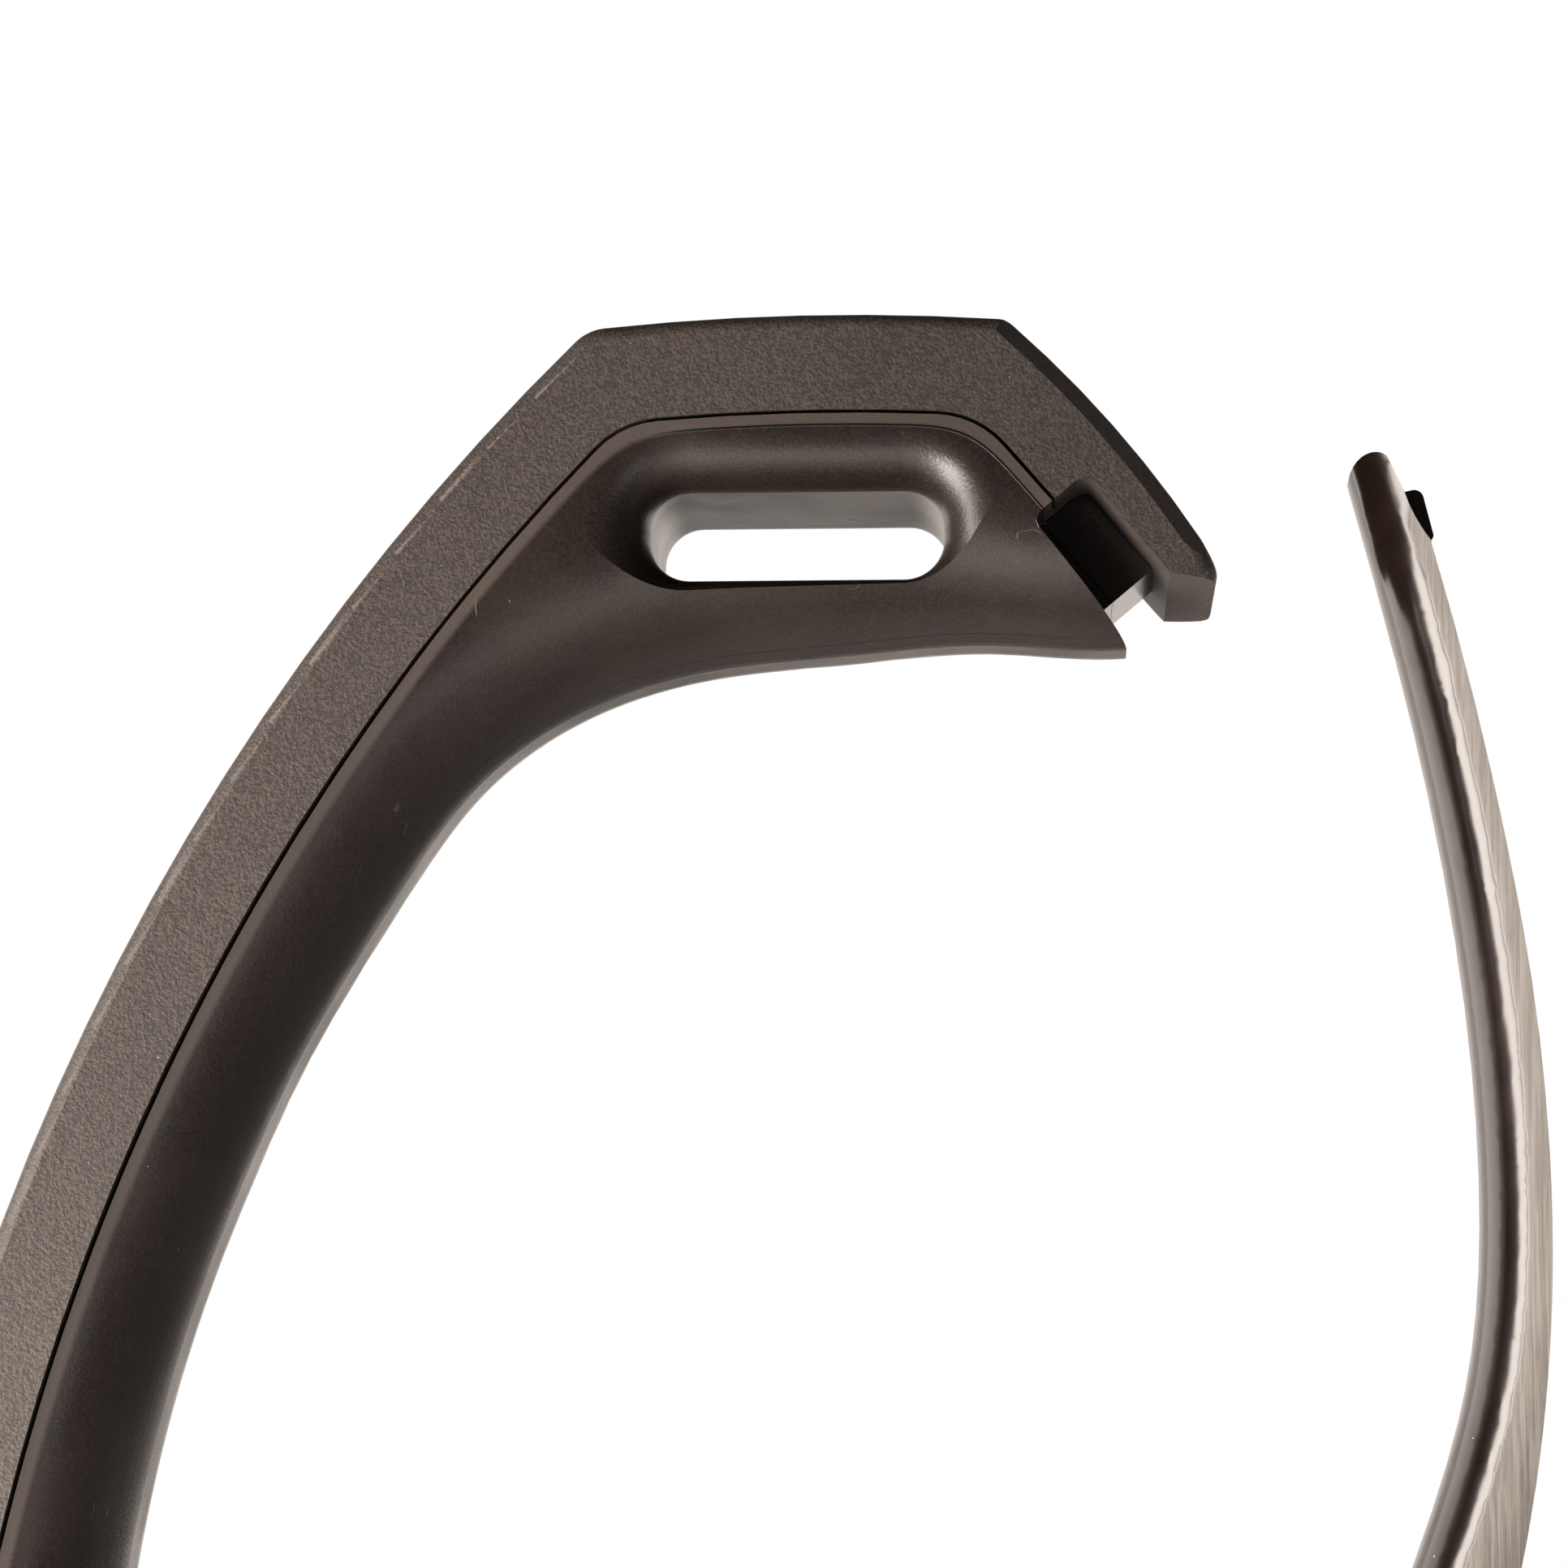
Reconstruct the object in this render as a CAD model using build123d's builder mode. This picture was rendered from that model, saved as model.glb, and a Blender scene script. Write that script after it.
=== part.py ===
"""Below-knee prosthetic leg: a moulded bow-shaped mast, a rear spring blade, an ankle and a foot.

Millimetres. +Z is up, the toes point to -X, and Y runs across the leg. The origin is on the floor
under the middle of the leg's box. Side views are drawn on the plane `side`, whose own x is measured
from the load line (the vertical through the middle of the socket plate) and whose y is the height.
"""
import os
from math import cos, radians, sin, sqrt, tan

from build123d import *

os.makedirs("parts", exist_ok=True)

# ---------------------------------------------------------------- driving dimensions
# Overall
foot_length = 260.0
heel_reach = 65.0  # from the load line back to the end of the heel
foot_width = 76.0
heel_width = 56.0
mast_depth = 40.0  # across the leg
blade_depth = 24.0  # across the leg
blade_reach = 90.5  # from the load line back to the blade's rearmost point

# Mast: outline points and radii in the side view
crest_height = 401.5
crest_x = 2.4
crest_radius = 292.0
front_center = (178.4, 187.7)
front_radius = 296.1
front_corner_radius = 6.0
rear_corner_radius = 3.0
rear_corner_x = 24.3
slope_middle = (39.9, 384.2)
rail_thickness = 11.5  # along the front and the slope
rail_crest_thickness = 12.3  # over the crest
rail_corner_radius = 12.0
rail_turn_x = 20.8  # where the inner line of the rail leaves the crest for the slope
groove_width = 0.5  # open line between rail and core on both faces
spine_height = 2.6  # rib of the core that stands in the rail's channel
spine_half_width = 12.0
edge_round = 2.0  # outer edges of the rail
tab_roll = 7.0  # how the rail's rear end rolls under
tab_corner = 3.2  # cut off the tab's inner corner
slope_bevel = 2.2  # each leg of the bevel along the slope's two edges
roll_radius = 17.0  # how the core rolls off towards the inside of the bow
seat_clearance = 0.1  # between seated pieces of one body

# Rear end of the mast: a pocket on both faces with a web between them
pocket_top = (30.6, 378.0)
pocket_angle = -50.0
pocket_width = 8.6
pocket_corner_radius = 1.6
web_length = 13.2
web_half_thickness = 9.0
lip_length = 18.4  # from the pocket's top to the end of the core
tab_length = 20.7  # from the pocket's top to the end of the rail
tab_width = 9.3  # from the pocket's middle to the tab's outer corner

# Webbing slot
slot_center = (-2.1, 374.4)
slot_length = 36.8
slot_height = 11.3
slot_corner_radius = 5.0
slot_rim_radius = 7.5
slot_rim_depth = 6.0

# Socket plate and its screws
plate_length = 38.0
plate_width = 34.0
plate_corner_radius = 1.5
plate_thickness = 5.0
plate_drop = 1.0  # top of the plate below the crest
plate_bolt_pitch = 24.0
plate_bolt_radius = 2.5  # tapping bore of the M6 threads
plate_screw_offset = 8.0
plate_screw_radius = 2.5
plate_screw_head_radius = 4.8
plate_screw_length = 15.0
plate_screw_land = 0.4  # straight part of the countersunk head
plate_screw_key = 1.75  # half the width of the hexagon key, measured on its corners
plate_screw_key_depth = 2.2
plate_screw_clearance = 0.25
insert_radius = 3.5
insert_length = 7.0

# Foot of the mast and the ankle housing
shoulder_height = 125.0
tenon_half_width = 11.0
tenon_bottom = 88.0
housing_bottom = 84.0
mast_bolt_points = ((-82.0, 114.0), (-73.0, 98.0))
mast_bolt_radius = 4.0
mast_bolt_head_radius = 6.5
mast_bolt_head_height = 5.0
mast_washer_radius = 7.6
mast_washer_thickness = 1.2
mast_nut_radius = 7.2
mast_nut_height = 4.5
bolt_seat_depth = 6.5
mast_bolt_key = 3.4  # measured on the hexagon's corners
mast_bolt_key_depth = 3.0
mast_bolt_reach = 0.8  # past the nut
housing_back = 30.0  # behind the load line
housing_corner_radius = 6.0
housing_edge_round = 2.5

# Rear blade
blade_lower_radius = 195.0
blade_blend_angle = -24.0  # where the front leaves the even thickness of the root
blade_front_points = (
    (73.6, 246.6),
    (80.6, 269.4),
    (82.5, 293.0),
    (79.9, 325.3),
    (75.5, 349.7),
    (69.5, 374.4),
    (67.4, 382.4),
)
blade_tip_tangent = (-0.254, 0.967)
blade_dome = (69.3, 385.2)
blade_shoulder_top = (71.8, 384.6)
blade_shoulder = (73.8, 380.1)
blade_scoop = (75.0, 377.0)
blade_scoop_end = (77.0, 373.6)
blade_back_middle = (87.6, 324.8)
blade_channel_heights = (190.0, 352.0)
blade_root_thickness = 14.0
blade_root_angle = -61.0
blade_eye_radius = 13.0
blade_crest_z = 288.5
blade_channel_width = 12.0
blade_channel_depth = 1.6
blade_pin_radius = 5.0
blade_bush_wall = 1.6
blade_tail_length = 26.0
blade_tail_thickness = 9.0
blade_tail_half_width = 9.0
blade_travel = 3.5  # degrees towards the mast
blade_bumper_thickness = 7.0
catch_half_width = 7.0
catch_low = (77.8, 374.4)
catch_high = (76.2, 380.9)
catch_thickness = 4.6
clevis_gap = 0.6  # between the blade's eye and each cheek
running_clearance = 0.05
cut_over = 1.0  # how far a cut runs past the face it opens

# Ankle
ankle_point = (-25.0, 66.0)
axle_radius = 5.0
ankle_bush_wall = 1.5
ankle_flange_radius = 9.0
ankle_flange_thickness = 1.5
knuckle_radius = 14.0
knuckle_half_width = 15.0
lug_radius = 15.0
ankle_gap = 0.4  # between a bush flange and a foot lug
bumper_radius = 9.0
bumper_offset = 38.0  # fore and aft of the ankle axle
bumper_cup_depth = 4.0
ankle_travel = 8.0  # degrees each way

# Heel leaf and treads
tread_thickness = 6.0
leaf_thickness = 6.0
leaf_eye = (-82.0, 24.0)
leaf_eye_radius = 9.0
leaf_half_width = 13.0
leaf_pin_radius = 4.0
leaf_bush_wall = 1.5
leaf_gap = 0.6
heel_travel = 3.0  # degrees
heel_bumper_radius = 12.0
heel_bumper_x = 30.0
tread_groove = 1.8  # width and depth
tread_groove_pitch = 9.0
keel_underside = 27.0  # over the heel leaf
keel_back = 46.0  # behind the load line
leaf_flat_x = 5.0  # behind the load line, where the leaf comes down flat
pin_chamfer = 0.5
clip_thickness = 1.2
clip_groove = 0.8
clip_radius = 9.0
clip_mouth = 6.0
axle_screw_radius = 2.5
axle_screw_length = 12.0
axle_head_radius = 8.0
axle_head_height = 3.2
ankle_bush_length = 13.0
stop_gap = 0.3  # what is left open at a stop

# ---------------------------------------------------------------- derived places
load_line_x = (foot_length - heel_reach - blade_reach) / 2
half_depth = mast_depth / 2
toe_x = heel_reach - foot_length
forefoot_reach = leaf_eye[0] - toe_x
forefoot_end = leaf_eye[0] - leaf_eye_radius - 8
side = Plane(origin=(load_line_x, 0, 0), x_dir=(1, 0, 0), z_dir=(0, -1, 0))
crest_center = (crest_x, crest_height - crest_radius)
rail_crest_radius = crest_radius - rail_crest_thickness
rail_front_radius = front_radius - rail_thickness
pocket_dir = (cos(radians(pocket_angle)), sin(radians(pocket_angle)))
pocket_normal = (-pocket_dir[1], pocket_dir[0])
blade_center = (blade_reach - blade_lower_radius, blade_crest_z)
eye_line_radius = blade_lower_radius - blade_root_thickness / 2
blade_eye = (
    blade_center[0] + eye_line_radius * cos(radians(blade_root_angle)),
    blade_center[1] + eye_line_radius * sin(radians(blade_root_angle)),
)
clevis_half_width = blade_depth / 2 + clevis_gap
plate_top = crest_height - plate_drop
plate_bottom = plate_top - plate_thickness
spine_top = crest_height - rail_crest_thickness + spine_height
tail_angle = blade_root_angle - 90
tail_gap = blade_tail_length * tan(radians(blade_travel)) + stop_gap
blade_bush_radius = blade_pin_radius + running_clearance + blade_bush_wall
ankle_bush_radius = axle_radius + running_clearance + ankle_bush_wall
leaf_bush_radius = leaf_pin_radius + running_clearance + leaf_bush_wall
lug_inner = knuckle_half_width + ankle_flange_thickness + ankle_gap
lug_outer = heel_width / 2


def side_plane(across):
    """The side view plane moved to Y = across; its normal points to -Y."""
    return side.offset(-across)


def circle_x(center, radius, height, sign):
    """x of a circle at a height, on its right (+1) or left (-1) half."""
    return center[0] + sign * sqrt(radius**2 - (height - center[1]) ** 2)


def circle_z(center, radius, x):
    """Height of the upper half of a circle at x."""
    return center[1] + sqrt(radius**2 - (x - center[0]) ** 2)


def meet_x(circle_a, circle_b, low, high):
    """x between low and high where the upper halves of two circles meet."""
    for _ in range(40):
        middle = (low + high) / 2
        if circle_z(*circle_a, middle) < circle_z(*circle_b, middle):
            low = middle
        else:
            high = middle
    return low


def along_pocket(distance, across=0.0):
    """A point measured from the pocket's top, down its length and across towards the rail."""
    return (
        pocket_top[0] + distance * pocket_dir[0] + across * pocket_normal[0],
        pocket_top[1] + distance * pocket_dir[1] + across * pocket_normal[1],
    )


# Inner line of the bow: a smooth run of chosen points from the lip over the underside and down
# the front, then one arc down to the tenon
lip_point = along_pocket(lip_length, seat_clearance - pocket_width / 2)
tab_point = along_pocket(tab_length, tab_width)
rear_point = (rear_corner_x, circle_z(crest_center, crest_radius, rear_corner_x))
underside_points = (
    (22.0, 361.9),
    (4.0, 360.7),
    (-14.0, 358.8),
    (-29.8, 353.8),
    (-43.1, 344.3),
    (-52.3, 331.9),
    (-63.2, 314.0),
)
bow_center = (112.9, 214.7)
bow_radius = 201.7
bow_start_z = 290.8
underside_slope = -0.075  # rise per millimetre towards the toes at the lip
bow_start = (circle_x(bow_center, bow_radius, bow_start_z, -1), bow_start_z)
bow_end = (circle_x(bow_center, bow_radius, tenon_bottom, -1), tenon_bottom)


def inner_line():
    """Inner line of the bow, from the lip to the tenon's end."""
    rise = (bow_start_z - bow_center[1]) / bow_radius
    with BuildLine() as line:
        Spline(
            lip_point,
            *underside_points,
            bow_start,
            tangents=((-1.0, underside_slope), (-rise, -sqrt(1 - rise**2))),
        )
        RadiusArc(bow_start, bow_end, -bow_radius)
    return line.line


def mast_outline():
    """Side view of rail and core together, down to the tenon's end."""
    corner_x = meet_x((front_center, front_radius), (crest_center, crest_radius), -45.0, -10.0)
    corner = (corner_x, circle_z(crest_center, crest_radius, corner_x))
    foot = (circle_x(front_center, front_radius, tenon_bottom, -1), tenon_bottom)
    with BuildSketch() as outline:
        with BuildLine():
            add(inner_line())
            Line(bow_end, foot)
            RadiusArc(foot, corner, front_radius)
            RadiusArc(corner, rear_point, crest_radius)
            ThreePointArc(rear_point, slope_middle, tab_point)
            Line(tab_point, lip_point)
        make_face()
        fillet(outline.vertices().sort_by_distance(corner)[0], front_corner_radius)
        fillet(outline.vertices().sort_by_distance(rear_point)[0], rear_corner_radius)
    return outline.sketch


def core_ground(growth):
    """Side view of all that lies inside the rail's inner line, grown by growth."""
    corner_x = meet_x(
        (front_center, rail_front_radius), (crest_center, rail_crest_radius), -45.0, -10.0
    )
    corner = (corner_x, circle_z(crest_center, rail_crest_radius, corner_x))
    turn = (rail_turn_x, circle_z(crest_center, rail_crest_radius, rail_turn_x))
    low = tenon_bottom - 20
    foot = (circle_x(front_center, rail_front_radius, low, -1), low)
    run = along_pocket(tab_length + 25.0)
    with BuildSketch() as ground:
        with BuildLine():
            RadiusArc(foot, corner, rail_front_radius)
            RadiusArc(corner, turn, rail_crest_radius)
            Polyline(turn, run, (run[0], low), foot)
        make_face()
        for point in (corner, turn):
            fillet(ground.vertices().sort_by_distance(point)[0], rail_corner_radius)
        if growth:
            offset(amount=growth)
    return ground.sketch


def half_plane(low, high):
    """A wide rectangle between two heights."""
    with BuildSketch() as band:
        with Locations((0, (low + high) / 2)):
            Rectangle(600, high - low)
    return band.sketch


def pocket_shape(length, shrink=0.0):
    """The pocket in the side view, open past the end of the mast."""
    width = pocket_width - 2 * shrink
    with BuildSketch() as shape:
        with Locations(Location(along_pocket(length / 2 + shrink), pocket_angle)):
            Rectangle(length, width)
        fillet(
            shape.vertices().sort_by(Axis((0, 0, 0), (*pocket_dir, 0)))[:2], pocket_corner_radius
        )
    return shape.sketch


def toe_at(share):
    """x of the side view at a share of the way from the toe to the eye of the heel leaf."""
    return toe_x + share * forefoot_reach


def flat_edges(piece):
    """Edges on the two flat sides of a piece."""
    sides = piece.edges().group_by(Axis.Y)
    return sides[0] + sides[-1]


def screw_places(height):
    """Where the two countersunk screws of the socket plate stand, at a height."""
    return [(load_line_x, across, height) for across in (-plate_screw_offset, plate_screw_offset)]


def save(piece, name):
    """Label a finished piece and write its STEP file."""
    piece.part.label = name
    export_step(piece.part, f"parts/{name}.step")


# ---------------------------------------------------------------- mast
# The core's round inside: a wide block whose inner edges are rolled, cut to the core's outline
block_end = (lip_point[0] + 60, lip_point[1] - 60 * underside_slope)
with BuildPart() as core_roll:
    with BuildSketch(side):
        with BuildLine():
            add(inner_line())
            Polyline(
                bow_end,
                (bow_end[0] - 120, tenon_bottom),
                (bow_end[0] - 120, crest_height + 50),
                (block_end[0], crest_height + 50),
                block_end,
                lip_point,
            )
        make_face()
    extrude(amount=half_depth, both=True)
    inner_edges = [
        edge
        for edge in flat_edges(core_roll)
        if tenon_bottom + 1 < edge.center().Z < crest_height
        and edge.center().X < load_line_x + block_end[0] - 1
    ]
    fillet(inner_edges, roll_radius)

with BuildPart() as slot_tool:
    with BuildSketch(side):
        with Locations(slot_center):
            RectangleRounded(slot_length, slot_height, slot_corner_radius)
    extrude(amount=half_depth + cut_over, both=True)
    for facing in (-1, 1):
        with BuildSketch(side_plane(facing * half_depth)):
            with Locations(slot_center):
                RectangleRounded(
                    slot_length + 2 * slot_rim_radius,
                    slot_height + 2 * slot_rim_radius,
                    slot_corner_radius + slot_rim_radius,
                )
        extrude(amount=-facing * slot_rim_depth)
    inner_rim = [
        edge
        for edge in slot_tool.edges()
        if abs(abs(edge.center().Y) - half_depth) < 0.01
        and abs(edge.center().Z - slot_center[1]) < slot_height / 2 + 0.01
        and abs(edge.center().X - load_line_x - slot_center[0]) < slot_length / 2 + 0.01
    ]
    fillet(inner_rim, slot_rim_radius - 0.2)

with BuildPart() as mast_core:
    with BuildSketch(side):
        add(mast_outline())
        add(core_ground(-groove_width), mode=Mode.INTERSECT)
        add(half_plane(shoulder_height, 500), mode=Mode.INTERSECT)
    extrude(amount=half_depth, both=True)
    add(core_roll.part, mode=Mode.INTERSECT)
    with BuildSketch(side):
        add(pocket_shape(tab_length + 20))
    extrude(amount=half_depth + cut_over, both=True, mode=Mode.SUBTRACT)
    # spine rib that stands in the rail's channel
    with BuildSketch(side):
        add(mast_outline())
        add(core_ground(spine_height), mode=Mode.INTERSECT)
        add(half_plane(shoulder_height, 500), mode=Mode.INTERSECT)
        add(core_ground(-3.0), mode=Mode.SUBTRACT)
        add(pocket_shape(tab_length + 20), mode=Mode.SUBTRACT)
    extrude(amount=spine_half_width - seat_clearance, both=True)
    # web between the two pockets
    with BuildSketch(side):
        add(pocket_shape(web_length, seat_clearance))
        with Locations(Location(along_pocket(web_length / 2, -2.5), pocket_angle)):
            Rectangle(web_length - 2 * pocket_corner_radius, pocket_width)
    extrude(amount=web_half_thickness, both=True)
    add(slot_tool.part, mode=Mode.SUBTRACT)
    # tenon that drops into the ankle housing
    with BuildSketch(side):
        add(mast_outline())
        add(core_ground(0), mode=Mode.INTERSECT)
        add(half_plane(tenon_bottom, shoulder_height + 2), mode=Mode.INTERSECT)
    extrude(amount=tenon_half_width, both=True)
    # bores for the brass inserts and the cross bolts
    for across in (-plate_screw_offset, plate_screw_offset):
        with Locations((load_line_x, across, spine_top)):
            Hole(insert_radius, depth=insert_length)
    for point in mast_bolt_points:
        with BuildSketch(side):
            with Locations(point):
                Circle(mast_bolt_radius + running_clearance)
        extrude(amount=half_depth, both=True, mode=Mode.SUBTRACT)
save(mast_core, "mast_core")

with BuildPart() as bevel_tool:
    # two wedges that run along the slope and take off its edges
    for facing in (-1, 1):
        with BuildLine(side_plane(facing * half_depth)) as slope:
            ThreePointArc(rear_point, slope_middle, tab_point)
        with BuildSketch(Plane(slope.line @ 0, x_dir=(0, facing, 0), z_dir=slope.line % 0)):
            Rectangle(slope_bevel * sqrt(2), slope_bevel * sqrt(2), rotation=45)
        sweep(path=slope.line)

with BuildPart() as mast_rail:
    with BuildSketch(side):
        add(mast_outline())
        add(half_plane(shoulder_height, 500), mode=Mode.INTERSECT)
    extrude(amount=half_depth, both=True)
    tab_middle = side.from_local_coords((Vector(*tab_point) + Vector(*lip_point)) * 0.5)
    tab_edges = [
        edge
        for edge in flat_edges(mast_rail)
        if abs(edge.center().X - tab_middle.X) < 0.1 and abs(edge.center().Z - tab_middle.Z) < 0.1
    ]
    fillet(tab_edges, tab_roll)
    outer_edges = [
        edge
        for edge in flat_edges(mast_rail).filter_by(GeomType.CIRCLE)
        if edge.radius > front_corner_radius - 0.01
    ]
    fillet(outer_edges, edge_round)
    add(bevel_tool.part, mode=Mode.SUBTRACT)
    with BuildSketch(side):
        add(core_ground(0))
    extrude(amount=half_depth + cut_over, both=True, mode=Mode.SUBTRACT)
    with BuildSketch(side):
        add(core_ground(spine_height + seat_clearance))
        add(pocket_shape(tab_length + 20), mode=Mode.SUBTRACT)
    extrude(amount=spine_half_width, both=True, mode=Mode.SUBTRACT)
    with BuildSketch(side):
        add(pocket_shape(tab_length + 20))
        with Locations(Location(along_pocket(tab_length, pocket_width / 2), pocket_angle)):
            Rectangle(2 * tab_corner, 2 * tab_corner, rotation=45)
    extrude(amount=half_depth + cut_over, both=True, mode=Mode.SUBTRACT)
    # seat for the socket plate and the clearance holes of its screws
    with BuildSketch(Plane((load_line_x, 0, plate_bottom))):
        Rectangle(plate_length + 2 * seat_clearance, plate_width + 2 * seat_clearance)
    extrude(amount=plate_thickness + 10, mode=Mode.SUBTRACT)
    with Locations(*screw_places(plate_bottom)):
        Hole(plate_screw_radius + plate_screw_clearance, depth=plate_thickness + 10)
save(mast_rail, "mast_rail")

with BuildPart() as socket_plate:
    with BuildSketch(Plane((load_line_x, 0, plate_bottom))):
        RectangleRounded(plate_length, plate_width, plate_corner_radius)
        with GridLocations(plate_bolt_pitch, plate_bolt_pitch, 2, 2):
            Circle(plate_bolt_radius, mode=Mode.SUBTRACT)
    extrude(amount=plate_thickness)
    chamfer(socket_plate.faces().sort_by(Axis.Z)[-1].outer_wire().edges(), 0.5)
    with Locations(*screw_places(plate_top)):
        CounterSinkHole(
            plate_screw_radius + plate_screw_clearance,
            plate_screw_head_radius + 2 * plate_screw_clearance,
            counter_sink_angle=90,
        )
save(socket_plate, "socket_plate")

cone_end = plate_screw_land + plate_screw_head_radius - plate_screw_radius

with BuildPart() as socket_plate_screws:
    for place in screw_places(plate_top):
        with BuildSketch(Plane(place)):
            Circle(plate_screw_head_radius)
        extrude(amount=-plate_screw_land)
        with BuildSketch(Plane(place).offset(-plate_screw_land)):
            Circle(plate_screw_head_radius)
        with BuildSketch(Plane(place).offset(-cone_end)):
            Circle(plate_screw_radius)
        loft()
        with BuildSketch(Plane(place).offset(-1)):
            Circle(plate_screw_radius)
        extrude(amount=-plate_screw_length + 1)
        with BuildSketch(Plane(place)):
            RegularPolygon(plate_screw_key, 6)
        extrude(amount=-plate_screw_key_depth, mode=Mode.SUBTRACT)
save(socket_plate_screws, "socket_plate_screws")

with BuildPart() as socket_plate_inserts:
    for place in screw_places(spine_top):
        with BuildSketch(Plane(place)):
            Circle(insert_radius)
            Circle(plate_screw_radius, mode=Mode.SUBTRACT)
        extrude(amount=-insert_length)
save(socket_plate_inserts, "socket_plate_inserts")

# ---------------------------------------------------------------- ankle housing
front_top = (circle_x(front_center, front_radius, shoulder_height, -1), shoulder_height)
front_low = (circle_x(front_center, front_radius, tenon_bottom + 10, -1), tenon_bottom + 10)
bow_top = (circle_x(bow_center, bow_radius, shoulder_height, -1), shoulder_height)
cheek_radius = blade_eye_radius + 3



def housing_outline():
    """Side view of the ankle housing without its knuckle."""
    corners = (
        (bow_top[0] + 14, shoulder_height - 14),
        (blade_eye[0] - 10, shoulder_height - 14),
        (blade_eye[0] + 12, shoulder_height - 12),
        (housing_back, housing_bottom + 14),
        (housing_back, housing_bottom),
        (front_low[0] + 12, housing_bottom),
        front_low,
    )
    with BuildSketch() as outline:
        with BuildLine():
            RadiusArc(front_low, front_top, front_radius)
            Polyline(front_top, bow_top, *corners)
        make_face()
        for corner in (corners[0], *corners[3:]):
            fillet(outline.vertices().sort_by_distance(corner)[0], housing_corner_radius)
        with Locations(blade_eye):
            Circle(cheek_radius)
    return outline.sketch


def knuckle_outline():
    """Side view of the housing's knuckle round the ankle axle."""
    x, z = ankle_point
    with BuildSketch() as outline:
        with BuildLine():
            Polyline(
                (x - knuckle_radius, z),
                (x - knuckle_radius - 8, housing_bottom + 4),
                (x + knuckle_radius + 8, housing_bottom + 4),
                (x + knuckle_radius, z),
                close=True,
            )
        make_face()
        with Locations(ankle_point):
            Circle(knuckle_radius)
    return outline.sketch


def tail_rectangle(start, end, low, high):
    """A rectangle laid along the blade's tail, measured from the eye."""
    with BuildSketch() as shape:
        with Locations(Location(blade_eye, tail_angle)):
            with Locations(((start + end) / 2, (low + high) / 2)):
                Rectangle(end - start, high - low)
    return shape.sketch


tail_under = blade_tail_thickness / 2
bumper_top = tail_under + tail_gap

with BuildPart() as ankle_housing:
    with BuildSketch(side):
        add(housing_outline())
    extrude(amount=half_depth, both=True)
    fillet(
        [
            edge
            for edge in flat_edges(ankle_housing)
            if edge.center().Z < shoulder_height - 0.5
        ],
        housing_edge_round,
    )
    with BuildSketch(side):
        add(knuckle_outline())
    extrude(amount=knuckle_half_width, both=True)
    # mortise for the mast's tenon
    with BuildSketch(side):
        add(mast_outline())
        add(core_ground(0), mode=Mode.INTERSECT)
        add(half_plane(tenon_bottom, shoulder_height + 2), mode=Mode.INTERSECT)
        offset(amount=seat_clearance)
    extrude(amount=tenon_half_width + seat_clearance, both=True, mode=Mode.SUBTRACT)
    # room between the cheeks for the blade's eye
    with BuildSketch(side):
        with Locations(blade_eye):
            Circle(blade_eye_radius + 1)
        add(tail_rectangle(-60, 0, -40, blade_eye_radius + 1))
    extrude(amount=clevis_half_width, both=True, mode=Mode.SUBTRACT)
    # trough for the blade's tail and its bumper
    with BuildSketch(side):
        add(
            tail_rectangle(
                0, blade_tail_length + 2.5, -40, bumper_top + blade_bumper_thickness
            )
        )
    extrude(amount=blade_tail_half_width + 0.6, both=True, mode=Mode.SUBTRACT)
    # bores: blade pin, ankle bushes and the cross bolts with their seats
    with BuildSketch(side):
        with Locations(blade_eye):
            Circle(blade_pin_radius)
        with Locations(ankle_point):
            Circle(ankle_bush_radius)
        with Locations(*mast_bolt_points):
            Circle(mast_bolt_radius + running_clearance)
    extrude(amount=half_depth + cut_over, both=True, mode=Mode.SUBTRACT)
    for facing in (-1, 1):
        with BuildSketch(side_plane(facing * (half_depth - bolt_seat_depth))):
            with Locations(*mast_bolt_points):
                Circle(mast_washer_radius + 0.2)
        extrude(amount=-facing * (bolt_seat_depth + 1), mode=Mode.SUBTRACT)
save(ankle_housing, "ankle_housing")

bolt_face = half_depth - bolt_seat_depth

with BuildPart() as mast_washers:
    for facing in (-1, 1):
        with BuildSketch(side_plane(facing * bolt_face)):
            with Locations(*mast_bolt_points):
                Circle(mast_washer_radius)
                Circle(mast_bolt_radius + running_clearance, mode=Mode.SUBTRACT)
        extrude(amount=-facing * mast_washer_thickness)
save(mast_washers, "mast_washers")

with BuildPart() as mast_bolts:
    head_face = bolt_face + mast_washer_thickness
    with BuildSketch(side_plane(-head_face)):
        with Locations(*mast_bolt_points):
            Circle(mast_bolt_head_radius)
    extrude(amount=mast_bolt_head_height)
    with BuildSketch(side_plane(-head_face)):
        with Locations(*mast_bolt_points):
            Circle(mast_bolt_radius)
    extrude(amount=-(2 * head_face + mast_nut_height + mast_bolt_reach))
    with BuildSketch(side_plane(-head_face - mast_bolt_head_height)):
        with Locations(*mast_bolt_points):
            RegularPolygon(mast_bolt_key, 6)
    extrude(amount=-mast_bolt_key_depth, mode=Mode.SUBTRACT)
save(mast_bolts, "mast_bolts")

with BuildPart() as mast_nuts:
    with BuildSketch(side_plane(head_face)):
        with Locations(*mast_bolt_points):
            RegularPolygon(mast_nut_radius, 6)
            Circle(mast_bolt_radius, mode=Mode.SUBTRACT)
    extrude(amount=-mast_nut_height)
save(mast_nuts, "mast_nuts")

# ---------------------------------------------------------------- rear blade
blade_inner_radius = blade_lower_radius - blade_root_thickness
blade_inner_start = (
    blade_center[0] + blade_inner_radius * cos(radians(blade_blend_angle)),
    blade_center[1] + blade_inner_radius * sin(radians(blade_blend_angle)),
)
blade_root_inner = (
    blade_center[0] + blade_inner_radius * cos(radians(blade_root_angle)),
    blade_center[1] + blade_inner_radius * sin(radians(blade_root_angle)),
)


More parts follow.
